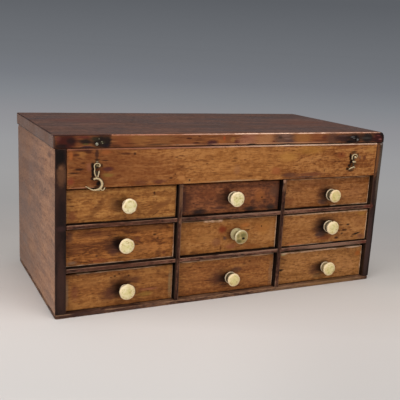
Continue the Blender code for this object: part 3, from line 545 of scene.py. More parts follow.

# Front rail
# Warm brown board across the front of the till, let in between the sides. Its top arris is rubbed to a
# pale line under the lid, its lower edge is chipped, and round the hooks it is dark with grime and with
# painted shadow that they cast.

rail_low, rail_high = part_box("front_rail")
rail = wood("rail_wood", "723f1b", "925c2e", "aa7340", 51, ALONG_X, 0.40, 0.28, 0.5)
rail.front_marks([
    (-108, 131, 66, 26, "74401f", 0.55), (-152, 131, 60, 60, "5c2e15", 0.48),
    (4, 131, 70, 40, "b0763c", 0.25), (-148, 144, 5, 3.4, "925f2e", 0.7), (-157, 143, 2.4, 6, "985527", 0.7),
    # The dark line at (-146, 147.2) on the next line is painted shadow under the lid.
    (-146, 147.2, 12, 1.5, "2c0f09", 0.95), (-157, 121, 4, 4.5, "7c3822", 0.7),
    (-141, 133, 4, 5, "8a5238", 0.6), (-150, 131.2, 6, 1.5, "2c140a", 0.95),
    (-154, 128.2, 7, 1.1, "33180c", 0.9), (-145, 115.6, 16, 0.7, "a8775c", 0.6),
    (-127, 145, 6, 3, "8d4e26", 0.75), (-152, 143.4, 4, 1.4, "47200f", 0.85),
    (-142, 145.6, 4.4, 1.6, "3f1c0e", 0.85), (-146.6, 136.4, 2.6, 1.3, "4a2412", 0.8),
    (-125, 130.8, 6, 3, "4b2320", 0.85), (-128, 138.3, 5, 0.7, "2f150b", 0.85),
    (-125, 125.6, 7, 2.4, "80602c", 0.8), (-110, 143.6, 9, 1.3, "46200f", 0.8),
    (-101.5, 143.6, 1.8, 1.8, "33170c", 0.85), (-96, 118, 9, 3, "5f3422", 0.6),
    (-62, 139.4, 2.2, 0.8, "4a2410", 0.8), (-63, 124.2, 1.1, 1, "4a2410", 0.8),
    (-67, 121, 2.6, 1.6, "4a2410", 0.8), (-78, 118, 11, 3, "5e3121", 0.8),
    (-32, 132.8, 2, 0.9, "5c3418", 0.8), (-49, 118.4, 2.8, 2.4, "9a6a3c", 0.8),
    (-48.8, 118.2, 1.3, 1.4, "3f1e0a", 0.95), (-57, 120.5, 5, 3.4, "ac7340", 0.8),
    (-4, 115.8, 36, 0.9, "a98a68", 0.75), (-3, 137, 4, 0.8, "5e3618", 0.85),
    (-4, 134.3, 4.4, 0.9, "5e3618", 0.85), (7, 135.3, 2.4, 1.1, "64381a", 0.8),
    (13.5, 119.6, 4.4, 1, "53280c", 0.9), (-1, 126, 5, 6, "91603e", 0.6), (55, 137, 15, 7, "ab7638", 0.7),
    (42, 123.6, 8, 5, "98562f", 0.75), (60, 143, 3.4, 1.1, "633510", 0.85),
    (58, 118.8, 13, 3.4, "573526", 0.85), (80, 143, 24, 6, "a4702f", 0.5), (82, 119, 26, 3, "6a3a24", 0.85),
    (75, 116.4, 25, 1.3, "4a2f2b", 0.85), (41.5, 143, 1.2, 1.4, "633510", 0.8),
    (98.5, 121.6, 1.3, 1.8, "5a3014", 0.8), (118, 137, 7, 5, "7b3f20", 0.75),
    (117.6, 138.2, 1.6, 1.8, "55240e", 0.85), (121, 145, 14, 2.4, "774220", 0.7),
    (141, 134.5, 2.4, 2.4, "6e4c3a", 0.7), (147.2, 133.6, 2.8, 3.6, "572a18", 0.85),
    (155, 142, 9, 5, "a5723a", 0.6), (-135, 144.4, 2.4, 8, "371d14", 0.85),
    # From (-138.7, 134.3) on, the marks are dark outlines round the hooks: painted shadow that they cast on
    # the rail, with grime.
    (-136, 127, 6, 16, "3a1e10", 0.35), (-138.7, 134.3, 2.1, 4.2, "0e0704", 0.95),
    (-138.4, 130, 1.8, 4.6, "0e0704", 0.95), (-138.2, 126, 1.8, 3.4, "0e0704", 0.95),
    (-139, 123.2, 1.8, 2.2, "120a06", 0.85), (-133.4, 118.6, 2.8, 3.6, "0a0502", 1),
    (-135.2, 115.8, 2.6, 1.1, "120a06", 0.85), (-134.8, 139, 3.8, 1.1, "1a0f08", 0.75),
    (-130.6, 134.3, 1.3, 2.6, "1a0f08", 0.65), (-134.8, 133, 2.1, 2.6, "0a0502", 0.95),
    (129.2, 135.5, 2.2, 4.8, "120904", 0.95), (130.5, 130, 2.6, 5, "0c0502", 1),
    (128.8, 126.2, 3, 2.8, "0e0602", 0.95), (126.6, 122.8, 2.6, 2.4, "140a04", 0.95),
    (131, 121.2, 5, 1.4, "2c180c", 0.8), (133.5, 139.9, 5.4, 1.4, "23140a", 0.85),
    (138.4, 136.5, 1.6, 3.6, "33200f", 0.75), (136.4, 127.6, 2.8, 2, "3e2a12", 0.7),
    (133.3, 134.4, 2.6, 1.9, "1c1006", 0.95)])
rubbed = rail.times(rail.fade(rail.z, rail_high.z - 0.0013, rail_high.z - 0.0008),
                    rail.fade(rail.mottle(70, 3), 0.35, 0.6, 0.7, 1.0))
under = rail.times(rail.fade(rail.z, rail_high.z - 0.0026, rail_high.z - 0.0018),
                   rail.fade(rail.mottle(50, 3), 0.4, 0.55, 0.1, 0.6))
rail.layer(under, "5a2e18")
rail.layer(rail.times(rubbed, rail.fade(rail.x, -0.140, -0.060, 0.45, 0.85)), "a26c57")
rail.layer(rail.times(rubbed, rail.fade(rail.x, -0.070, 0.050, 0.0, 0.95)), "dfbda2")
rail.edge_wear_grime_and_shade(rail_low, rail_high, 0.0009, "6a3d24", 0.5, 0.8)
made = board("front_rail", "xz", ARRIS, 52, pitch=0.0012, near=[
    (0.029, rail_low.z, 0.0052, 0.0010, 0.0016), (0.080, rail_low.z, 0.0046, 0.0013, 0.0018),
    (-0.004, rail_low.z, 0.0030, 0.0006, 0.0010), (-0.070, rail_high.z, 0.0300, 0.0004, 0.0004)])
stand_in(made, "front_rail", rail.done())

# Lid
# One board over the whole box, dark and dully polished on top, with a front edge worn back to orange
# brown. It is let in underneath for the hinges, planed along its rear arris, and its right end is
# rubbed round.

lid_low, lid_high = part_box("lid")
LEAF = [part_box("hinge_left_lid_leaf"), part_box("hinge_right_lid_leaf")]
BARREL = 0.0020
MORTISE = 0.0011
CORNER, WORN_CORNER, WORN_END = 0.0014, 0.0025, 0.0065
END_REACH = 0.010
HAIR = 0.00002
corners = [(lid_low.x, lid_low.y, CORNER), (lid_high.x, lid_low.y, WORN_CORNER),
           (lid_high.x, lid_high.y, CORNER)]
for leaf_low, leaf_high in reversed(LEAF):
    for x in (leaf_high.x + SLACK, leaf_low.x - SLACK):
        corners += [(x + HAIR, lid_high.y, 0.0), (x - HAIR, lid_high.y, 0.0)]
corners.append((lid_low.x, lid_high.y, CORNER))
line = edge_line(corners, 0.0014)
chips = [(0.016, FRONT, 0.0042, 0.0014, 0.0012), (0.053, FRONT, 0.0036, 0.0012, 0.0011),
         (-0.004, FRONT, 0.0030, 0.0008, 0.0007), (-0.028, FRONT, 0.0050, 0.0006, 0.0006),
         (-0.090, FRONT, 0.0060, 0.0005, 0.0005), (0.131, FRONT, 0.0040, 0.0006, 0.0008)]
rubs = [(-0.030, FRONT, 0.0500, 0.0006, 0.0005), (0.060, FRONT, 0.0700, 0.0007, 0.0006),
        (0.140, FRONT, 0.0400, 0.0006, 0.0007), (-0.062, FRONT, 0.0080, 0.0007, 0.0007),
        (lid_high.x, 0.0, 0.0900, 0.0005, 0.0005)]
under_edge, over_edge = arris(line, 0.0004, 61, chips), arris(line, 0.0008, 62, rubs)
rings = board_rings(line, lid_low.z, lid_high.z, under_edge, over_edge)
under_arris, over_arris = rings[:5], rings[5:]
levels = np.array([MORTISE, MORTISE + HAIR, BARREL, BARREL + HAIR, 0.0039]) + lid_low.z
levels = np.concatenate([levels, lid_high.z - np.array([WORN_END, 0.0048, 0.0034, 0.0022])])
ledges = np.repeat(np.concatenate([line[0], np.zeros((len(line[0]), 1))], 1)[None], len(levels), 0)
apart = HAIR * np.arange(1, len(levels) + 1)[:, None]
ledges[..., 2] = np.maximum(levels[:, None], under_arris[-1, :, 2] + apart)
ledges[5:, :, 2] = np.minimum(ledges[5:, :, 2], over_arris[0, :, 2] - apart[-6::-1])
rings = np.concatenate([under_arris, ledges, over_arris])
rise = np.maximum(rings[..., 2] - lid_high.z + WORN_END, 0)
near_end = np.clip((rings[..., 0] - lid_high.x) / END_REACH + 1, 0, 1)
rings[..., 0] -= near_end * (WORN_END - np.sqrt(np.maximum(WORN_END ** 2 - rise ** 2, 0)))
at_leaf = sum((np.abs(rings[..., 0] - (a.x + b.x) / 2) < (b.x - a.x) / 2 + SLACK) for a, b in LEAF) > 0
limit = HINGE_Y - HALF_GAP + (rings[..., 2] - lid_low.z) / STOP_SLOPE
limit[:6] = np.where(at_leaf[:6], LEAF[0][0].y - SLACK, limit[:6])
limit[6:8] = np.where(at_leaf[6:8], HINGE_Y - BARREL, limit[6:8])
rings[..., 1] = np.minimum(rings[..., 1], limit)

lid = wood("lid_wood", "4a332a", "5e4135", "755142", 64, ALONG_X, 0.33, 0.34, 0.18, 0.6, 0.3, 0.5, gloss=0.16)
lid.ragged_marks(((0.12, -0.01, lid_high.z), (0.06, 0.03, 0.02), "653b2b", 0.5),
           ((-0.12, 0.02, lid_high.z), (0.05, 0.03, 0.02), "613930", 0.5),
           ((0.0, -0.03, lid_high.z), (0.08, 0.02, 0.02), "503b32", 0.5))
lid.layer(lid.fade(lid.y, FRONT + 0.014, FRONT + 0.001, 0.0, 0.6), "724227")
top = lid.colour
lid.blend(lid.mottle((30, 30, 200), 3), "592e17", "875029")
streaked = lid.mottle((60, 60, 1000), 2)
lid.layer(lid.fade(streaked, 0.54, 0.66, 0.0, 0.55), "44210f")
lid.layer(lid.fade(streaked, 0.44, 0.34, 0.0, 0.45), "a9713f")
lid.front_marks([
    (-161, 154, 14, 14, "3c130a", 1), (-157, 155, 5.5, 4.5, "200c09", 0.9),
    (-166, 150.8, 10, 2.8, "1c0b07", 0.92), (-168, 157, 4, 3, "5c2c25", 0.6),
    (-171, 154, 2, 7, "240c08", 0.85), (-146, 158, 8, 1.8, "531f19", 0.85),
    (-145, 154.5, 8.5, 3.4, "170d09", 0.95), (-144.5, 152.3, 4, 1, "54451f", 0.7),
    (-143, 149.8, 9, 1.5, "2b1620", 0.9), (-132, 154.5, 13, 8, "1d110a", 1),
    (-126.5, 154.5, 5.5, 7.5, "1d100a", 1), (-137, 156.6, 5, 3, "2b2717", 0.7),
    # The small pale grey spots in 8f886c and 77705a on the next two lines are painted glints.
    (-130.5, 153.5, 3.4, 2.4, "2d2717", 0.6), (-131, 154.2, 0.8, 0.6, "8f886c", 0.85),
    (-130.3, 152.8, 0.7, 0.6, "8f886c", 0.85), (-133.4, 156.6, 0.7, 0.6, "77705a", 0.8),
    (-127, 150.8, 6, 2.4, "150b10", 0.9), (-111, 154, 13, 9, "743e1f", 0.6),
    (-118, 150.4, 7, 1.8, "43200f", 0.7), (-97, 155.4, 13, 8, "86562b", 0.65),
    (-106, 152.2, 9, 0.8, "4a220d", 0.7), (-90, 152.8, 8, 0.8, "5c3016", 0.6),
    (-75, 155, 15, 7, "80522c", 0.6), (-80, 151, 15, 1.2, "4a2f19", 0.75),
    (-62.5, 150.6, 3.4, 0.7, "27130a", 0.9), (-67, 153.5, 5, 0.7, "59290f", 0.75),
    (-51, 156, 4, 1.2, "3f1b0c", 0.95), (-44, 151.7, 6, 1.3, "3c140a", 0.9),
    (-52, 152.6, 7, 3, "7c4424", 0.6), (-41, 157.6, 2, 0.8, "3f1b0c", 0.8),
    (-28, 151.6, 7.5, 3.6, "43201e", 1), (-31, 150, 3.4, 2, "3a1d25", 0.7), (-16, 155.5, 2, 3, "94411c", 0.8),
    (-18, 152.5, 6, 3, "965728", 0.6), (-7, 154.6, 3, 3.4, "8f5f30", 0.7),
    (-2.5, 151.7, 4, 3.4, "501f1b", 0.9), (-6, 157, 6, 1, "5a2f16", 0.6), (9, 154, 14, 10, "935f48", 0.7),
    (5, 156.6, 7, 1, "67311c", 0.6), (27, 154, 15, 11, "a06c45", 0.8), (22, 157.6, 9, 0.8, "774224", 0.6),
    (49, 153.8, 16, 12, "5e4336", 0.9), (55, 151.7, 8, 2.6, "4a322f", 0.75),
    (44, 155.6, 3.4, 1.8, "38241a", 0.8), (37, 152, 2.4, 1.2, "53231b", 0.8),
    (50, 157.2, 7, 0.8, "866050", 0.7), (52, 154.4, 5, 0.8, "7c5d50", 0.7),
    (70, 154.6, 14, 11, "935f31", 0.7), (86, 154, 12, 10, "7d4526", 0.65),
    (90, 151.6, 11, 2.4, "572d1a", 0.75), (95, 155.6, 5, 3.4, "5a2a1b", 0.8),
    (105, 153.5, 11, 10, "523428", 0.8), (118, 154, 15, 6, "38201a", 1), (132, 154, 15, 8, "20110d", 1),
    (149, 154, 15, 8, "1f1612", 1), (147, 154, 9, 1.6, "3f3832", 0.6), (118, 156.6, 9, 1.2, "543a33", 0.6),
    (126, 150.8, 7, 2.2, "090404", 1), (133.6, 155.4, 1.8, 1.8, "040303", 1),
    (129.6, 155.3, 3.4, 0.8, "62605f", 0.8), (131.4, 153.8, 2, 0.7, "62605f", 0.7),
    (163, 154, 12, 12, "35100c", 1), (165, 152.6, 3, 1, "86504a", 0.8),
    (162.5, 156.4, 3.4, 0.8, "6d3630", 0.75), (158, 151.2, 7, 1.4, "2a120e", 0.9),
    (157.5, 155.2, 2.4, 1, "5a2822", 0.7)])
edge, lid.colour = lid.colour, top
at_front = lid.fade(lid.y, FRONT + 0.0016, FRONT + 0.0006)
lid.layer(at_front, edge)
lid.layer(lid.fade(lid.sum("ABSOLUTE", lid.x), lid_high.x - 0.0012, lid_high.x - 0.0004, 0.0, 0.8), "6f5140")
lid.layer(lid.times(lid.fade(lid.z, lid_low.z + 0.0008, lid_low.z + 0.0013),
                    lid.fade(lid.z, lid_low.z + 0.0026, lid_low.z + 0.0019),
                    lid.fade(lid.mottle(55, 2), 0.36, 0.52, 0.25, 1.0), at_front,
                    lid.fade(lid.x, -0.100, -0.040, 0.0, 0.55), lid.fade(lid.x, 0.105, 0.085)), "b2805f")
# Painted shade of the gap under the lid, along the lowest millimetre of its front.
lid.layer(lid.times(lid.fade(lid.z, lid_low.z + 0.0012, lid_low.z + 0.0006),
                    lid.fade(lid.x, -0.075, -0.050, 0.45, 0.92)), "241006")
# Black in the two deepest chips of the lower edge: painted shade.
lid.front_marks([(13, 149.2, 7, 2, "070302", 1), (53, 149.2, 14, 1.2, "0d0604", 0.9)])
from_edge = lid.edge_distance(lid_low, lid_high)
lid.layer(lid.times(lid.fade(from_edge, 0.0011, 0.0004),
                    lid.fade(lid.x, lid_low.x + 0.003, lid_low.x + 0.001),
                    lid.fade(lid.mottle(60, 2), 0.34, 0.5, 0.55, 0.95)), "27100b")
lid.layer(lid.times(lid.fade(lid.y, FRONT + 0.0012, FRONT + 0.0018),
                    lid.fade(lid.y, FRONT + 0.0042, FRONT + 0.0030), 0.7), "3b231b")
worn = lid.times(lid.fade(from_edge, 0.0012, 0.0005), lid.fade(lid.y, FRONT + 0.004, FRONT + 0.001),
                 lid.fade(lid.z, lid_high.z - 0.003, lid_high.z - 0.0015))
lid.layer(lid.times(worn, lid.fade(lid.x, -0.1215, -0.1235, 0.0, 0.9)), "2e130d")
worn = lid.times(worn, lid.fade(lid.mottle(90, 3), 0.38, 0.52, 0.45, 1.0))
lid.layer(lid.times(worn, lid.fade(lid.x, -0.1235, -0.1215), lid.fade(lid.x, 0.166, 0.158, 0.3)), "a8725a")
lid.layer(lid.times(worn, lid.fade(lid.x, -0.080, 0.020), lid.fade(lid.x, 0.120, 0.090, 0.45)), "e3bca2")
round_x = lid.sum("MAXIMUM", lid.sum("SUBTRACT", lid.x, lid_high.x - WORN_END), 0.0)
round_z = lid.sum("MAXIMUM", lid.sum("SUBTRACT", lid.z, lid_high.z - WORN_END), 0.0)
rim = lid.sum("SQRT", lid.sum("ADD", lid.times(round_x, round_x), lid.times(round_z, round_z)))
lid.layer(lid.times(lid.fade(rim, WORN_END - 0.0040, WORN_END - 0.0032),
                    lid.fade(lid.x, 0.1615, 0.1665, 0.0, 0.95),
                    lid.fade(lid.y, FRONT + 0.012, FRONT + 0.003)), "150705")
lid.feed("Roughness", lid.fade(lid.y, FRONT + 0.0020, FRONT + 0.0008, lid.polish, 0.68))
stand_in(shells("lid_board", [rings]), "lid", lid.done())

# Hinges
# Two cast butt hinges, let in flush between the lid and the back board, each leaf held by two
# countersunk iron screws with filed slots.


def metal(name, shade, patina, dirt_and_shade, scale, roughness):
    """Old cast metal: a dull skin over a brighter one, darker in its hollows with grime and painted shade,
    and small pits.
    """
    finish = Finish(name, roughness, 1.0)
    finish.blend(finish.mottle(scale, 4), patina, shade)
    finish.ragged(3 * scale)
    hollow = finish.add("NewGeometry").outputs["Pointiness"]
    # Darker where the surface is hollow: grime with painted shade.
    finish.layer(finish.fade(hollow, 0.5, 0.42, 0.0, 0.8), dirt_and_shade)
    pits = finish.mottle(6 * scale, 2)
    finish.emboss(pits, 0.4, 0.0003)
    finish.feed("Roughness", finish.fade(pits, 0.3, 0.7, roughness - 0.08, roughness + 0.15))
    return finish


DULLED = 0.35
hinge_brass = metal("hinge_brass", "a9905c", "7c6a45", "3a3022", 260, 0.42).done()
iron = metal("hinge_iron", "8d8780", "5b5149", "2c2520", 400, 0.5).done()


def full_turn(count):
    """Angles of a full turn in equal steps."""
    return np.arange(count) * 2 * np.pi / count


def turned(profile, centre, count):
    """Rings of a turned shape: a profile (radius, rise) carried round an axis that points to the front."""
    turn = full_turn(count)
    radius, rise = np.array(profile, float).T[:, :, None]
    return np.stack([radius * np.cos(turn), 0 * turn - rise, radius * np.sin(turn)], -1) + centre


def screw_head(place, out):
    """Countersunk head: flat with a slot filed across it, where its points within the slot sink, then
    the cone below it and a stub of the shank."""
    turn = full_turn(TURNS)
    ring = np.stack([np.cos(turn), np.sin(turn)], -1)
    flat = np.linspace(0.02, 1.35, 12)[:, None, None] * MM * ring
    slot = 1 / (1 + (flat @ np.array([0.5, 0.866]) / 0.00019) ** 6)
    head = np.concatenate([flat, (-0.00035 * slot - 0.0001)[..., None]], 2)
    below = np.array([(1.35, -0.2), (0.85, -0.6), (0.8, -3.0), (0.1, -3.6)])[:, None] * MM
    shank = np.concatenate([below[..., :1] * ring, below[..., 1:] + 0 * ring[:, :1]], 2)
    return np.array(place) + np.concatenate([head, shank]) * (1, 1, out)


TURNS = 48
SCREW_SETBACK = 0.0046
SCREW_SHIFTS = (-0.0075, 0.0075)
for name in ("left", "right"):
    for part, level, out in (("case", rail_high.z, 1), ("lid", lid_low.z, -1)):
        leaf = "hinge_%s_%s_leaf" % (name, part)
        low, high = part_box(leaf)
        places = [((low.x + high.x) / 2 + shift, HINGE_Y - SCREW_SETBACK, level) for shift in SCREW_SHIFTS]
        screws = shells("hinge_%s_%s_screws" % (name, part), [screw_head(place, out) for place in places])
        screws.data.materials.append(iron)
        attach(screws, BODY_OF[leaf])
        dress(leaf, hinge_brass)
    dress("hinge_%s_pin" % name, iron)

# Drawers
# Nine small drawers. Each has a front of warm brown wood, that of the top middle one much redder and
# darker, with thin pale sides, back and bottom behind it. Round the knobs lie dark grease from hands and
# painted shadow of the knobs.

GREASE_AND_SHADOW = "3a2114"
# Dark marks left of and under a knob, at (-117, 99), (-116, 65), (-117.5, 57.5), (100, 99), (100, 90), (100,
# 64) and (101, 56), are painted shadow of the knob with grease.
FRONTS = {
    "top_left": ("7d4c24", "976230", "b07b42", 71, [
        (-134, 97, 4, 16, "6b3e1d", 0.75, 42), (-121, 104, 3, 14, "7c4d24", 0.6, 45),
        (-158, 106, 3, 1.1, "4a2410", 0.85), (-156, 100, 3.4, 1.1, "4f2812", 0.8),
        (-135.5, 98, 1.6, 1, "5a2c14", 0.8), (-132, 102.4, 2.4, 0.9, "5a2c14", 0.75),
        (-80, 94, 3.5, 15, "724320", 0.7, 55), (-70, 99, 3, 14, "7a4a25", 0.6, 55),
        (-81, 89, 5, 0.9, "59301a", 0.8, -28), (-78.4, 91.4, 4, 0.7, "653a1c", 0.7, -28),
        (-146, 86.8, 2.6, 1.2, "55300f", 0.8), (-156, 91, 6, 7, "6c3420", 0.7),
        (-82.3, 108, 1.7, 2.4, "351609", 0.95), (-82, 104.8, 3.4, 1.4, "b08350", 0.6),
        (-84, 98, 2.4, 1, "6b451c", 0.7), (-150, 109, 12, 3, "84542d", 0.5),
        (-117, 99, 10, 8, "583218", 0.55)]),
    "top_middle": ("543020", "774529", "985d37", 74, [
        (-38, 87.5, 13, 6, "281b18", 0.95), (-53.5, 98, 4, 20, "38211f", 0.85),
        (-50, 98, 8, 16, "4e2a1b", 0.6), (-30, 104, 16, 8, "69371c", 0.6), (16, 87.5, 9, 4.5, "281d19", 0.9),
        (39, 88, 8, 5, "2d211c", 0.9), (46, 98, 5, 22, "3d2723", 0.8), (-16, 91, 10, 2.6, "452a24", 0.75),
        (-10, 106.5, 5, 5, "44190d", 0.8), (26, 100, 8, 10, "925528", 0.65), (42, 104, 9, 9, "5b3b2b", 0.8),
        (10, 110, 26, 3, "522d1c", 0.6), (-14, 98, 9, 11, "522c18", 0.8), (14, 95, 4, 6, "884e27", 0.6)]),
    "top_right": ("74411a", "925d32", "a66f40", 77, [
        (68, 104, 9, 5, "673a1d", 0.6), (90, 109, 30, 5, "784829", 0.5), (84, 98, 14, 7, "9c6637", 0.5),
        (100, 99, 11, 11, "572e19", 0.75), (60, 92, 9, 7, "7b4424", 0.5), (100, 90, 9, 4.5, "48322c", 0.7),
        (76, 86, 20, 2.5, "774224", 0.5), (140, 98, 14, 12, "8a5732", 0.4)]),
    "middle_left": ("603417", "844e22", "a36834", 81, [
        (-136, 74, 28, 5, "592e19", 0.7), (-140, 66, 20, 3, "66391d", 0.55),
        (-120, 62, 12, 10, "512b17", 0.8), (-80.6, 70, 2.8, 1.4, "2a130a", 0.9),
        (-77.6, 66, 1.7, 1.4, "2d160c", 0.85), (-79.5, 67.8, 3.6, 0.8, "a2673a", 0.6),
        (-116, 65, 6, 8, "120805", 0.9), (-117.5, 57.5, 7, 6, "553229", 0.75),
        (-71, 52, 2.8, 2.6, "5a2a18", 0.75), (-158, 74, 5, 9, "4a2a24", 0.65),
        (-156, 50, 7, 2.6, "8a7460", 0.5), (-134, 54.5, 1.8, 2, "46241a", 0.75),
        (-97, 66, 4, 5, "5f3022", 0.6), (-76, 52.5, 6, 4, "572e19", 0.7), (-132, 50, 14, 3, "783924", 0.6),
        (-112, 51, 7, 1.6, "3a1d10", 0.6), (-135, 65.5, 8, 1, "3e200c", 0.6), (-88, 76, 22, 4, "96602f", 0.5),
        (-92, 58, 16, 6, "915d32", 0.4), (-152, 62, 7, 9, "744322", 0.5)]),
    "middle_middle": ("7f4e23", "945e2e", "ac7642", 84, [
        (-12, 69, 7, 6, "782f14", 0.9), (12, 72, 7, 3.4, "a9612a", 0.7), (15, 67, 4.4, 0.9, "371a0b", 0.85),
        (-2, 52, 9, 4, "985639", 0.7), (20, 50, 13, 4, "8f5128", 0.6), (33, 68, 11, 9, "a5712f", 0.6),
        (-9, 60.5, 3, 2.6, "4a3633", 0.75), (-18, 57, 8, 6, "7a4c34", 0.6),
        (-13, 51, 1.6, 4.4, "58290f", 0.8), (-41, 49, 6, 2.6, "562f17", 0.7), (-52, 50, 5, 6, "704020", 0.5),
        (32, 68, 14, 8, "9b5b2f", 0.5), (42, 63, 4, 10, "ab7849", 0.5), (-30, 62, 14, 8, "a36f3b", 0.5),
        (0, 66, 11, 10, "703c1e", 0.5), (24, 50, 16, 3, "895326", 0.5)]),
    "middle_right": ("794922", "915d2f", "a87342", 87, [
        (100, 64, 12, 12, "502c19", 0.8), (106, 52, 14, 4, "73361b", 0.7),
        (135.2, 63.8, 3.2, 1.3, "2a140a", 0.95), (126.5, 64, 4, 1.1, "47260f", 0.75),
        (147.5, 53.2, 8.5, 1.5, "1a0c06", 1, -12), (131.6, 58, 4.8, 1.5, "351a0c", 0.95),
        (128.6, 54.7, 2.4, 1.4, "3a1c0e", 0.9), (122, 50.6, 4, 1.9, "38190f", 0.9),
        (153, 50, 7, 3.4, "643a2c", 0.7), (151, 75, 7, 3.6, "9a6b2c", 0.7),
        (70, 47.6, 14, 1.6, "b0683c", 0.6), (101, 56, 9, 5, "48322e", 0.8),
        (142, 50.4, 3, 1.2, "4a2616", 0.8), (84, 66, 22, 5, "976434", 0.4), (150, 66, 10, 8, "804d27", 0.5),
        (72, 54, 16, 6, "855228", 0.4)]),
    "bottom_left": ("70411e", "8b572a", "a26d39", 91, [
        (-117, 34.2, 2.4, 1.7, "331709", 0.9), (-113, 36, 1.6, 1.3, "331709", 0.85),
        (-104, 33.6, 1.8, 1.5, "331709", 0.9), (-120.6, 33.4, 1.2, 1, "381c0f", 0.8),
        (-82.5, 29.5, 1.5, 1.2, "3f2210", 0.8), (-92, 19, 2.4, 2.6, "6b3020", 0.6),
        (-98, 29, 9, 5, "4f2a1d", 0.75), (-121, 18, 9, 9, "532c24", 0.7), (-88, 14, 11, 3.4, "8d6a2e", 0.6),
        (-85, 18.5, 12, 1.6, "9c5f45", 0.5), (-63.8, 22, 2.6, 20, "8f7a58", 0.5),
        (-160, 22, 2.2, 20, "8c745c", 0.45), (-111, 26, 16, 12, "512b18", 0.75),
        (-126, 16, 9, 9, "5a341e", 0.5), (-153, 22, 5, 11, "6f3b26", 0.65), (-84, 29, 20, 6, "89562a", 0.4),
        (-76, 34, 2.4, 1, "512b18", 0.6), (-140, 30, 14, 6, "946234", 0.4)]),
    "bottom_middle": ("714120", "8d562b", "a46e3a", 94, [
        (-14, 21, 15, 14, "4c281b", 0.85), (6, 28, 9, 5, "4e3128", 0.65), (44.5, 22, 3, 20, "8a6a50", 0.5),
        (22, 31, 16, 5, "7d4b27", 0.5), (-40, 24, 14, 10, "956033", 0.4), (30, 14, 14, 6, "976237", 0.4),
        (14, 33, 3, 1.4, "4b2816", 0.6)]),
    "bottom_right": ("7f5027", "976434", "af7947", 97, [
        (57, 21.4, 3.8, 1.9, "261407", 1), (58.5, 37.8, 4, 1.2, "b3ab7a", 0.9),
        (147, 38.6, 12, 1.2, "d2bba2", 0.9), (98, 18, 10, 9, "4a2a22", 0.6), (102, 11, 8, 4, "5c4528", 0.6),
        (152, 31, 5, 5, "9f5725", 0.7), (101, 20, 10, 10, "59341b", 0.7), (76, 15, 14, 2.4, "754720", 0.5),
        (72, 34, 18, 3, "9f6a3d", 0.5), (140, 22, 14, 8, "99673a", 0.4), (90, 29, 24, 2, "794a23", 0.4)]),
}
# Where an edge of a front is rubbed through to pale wood: the edge, the start and the end of the worn
# length as shares, its width in millimetres, and how strong it is.
PALE_EDGES = {
    "top_left": [("right", 0, 1, 0.8, 0.3), ("left", 0.1, 0.9, 0.8, 0.3), ("foot", 0.6, 1, 0.8, 0.3)],
    "top_middle": [("left", 0, 1, 0.7, 0.2)],
    "top_right": [("right", 0, 1, 1.4, 0.75), ("top", 0, 1, 1.2, 0.5), ("foot", 0.55, 1, 1.3, 0.6)],
    "middle_left": [("right", 0, 1, 1.4, 0.8), ("foot", 0, 1, 1.2, 0.6)],
    "middle_middle": [("top", 0.02, 0.3, 1, 0.45), ("top", 0.24, 0.42, 2.6, 1), ("right", 0, 1, 1.6, 0.75),
                      ("top", 0.5, 1, 1, 0.5)],
    "middle_right": [("right", 0, 1, 1.4, 0.7), ("top", 0, 1, 1.5, 0.75), ("foot", 0.1, 0.6, 1, 0.5)],
    "bottom_left": [("right", 0, 1, 1.2, 0.4), ("top", 0.1, 0.9, 1, 0.5)],
    "bottom_middle": [("top", 0, 1, 1.3, 0.65), ("right", 0, 1, 1.2, 0.65)],
    "bottom_right": [("top", 0, 1, 1.7, 0.85), ("right", 0, 1, 1.6, 0.75)],
}
# A mark measured on the plane of the case's front moves on a drawer's front that stands back in the
# case, along the line to where the photographer stood: this far before it, to the left and up.
VIEW_DEPTH, VIEW_X, VIEW_Z = 0.517, -0.290, 0.235
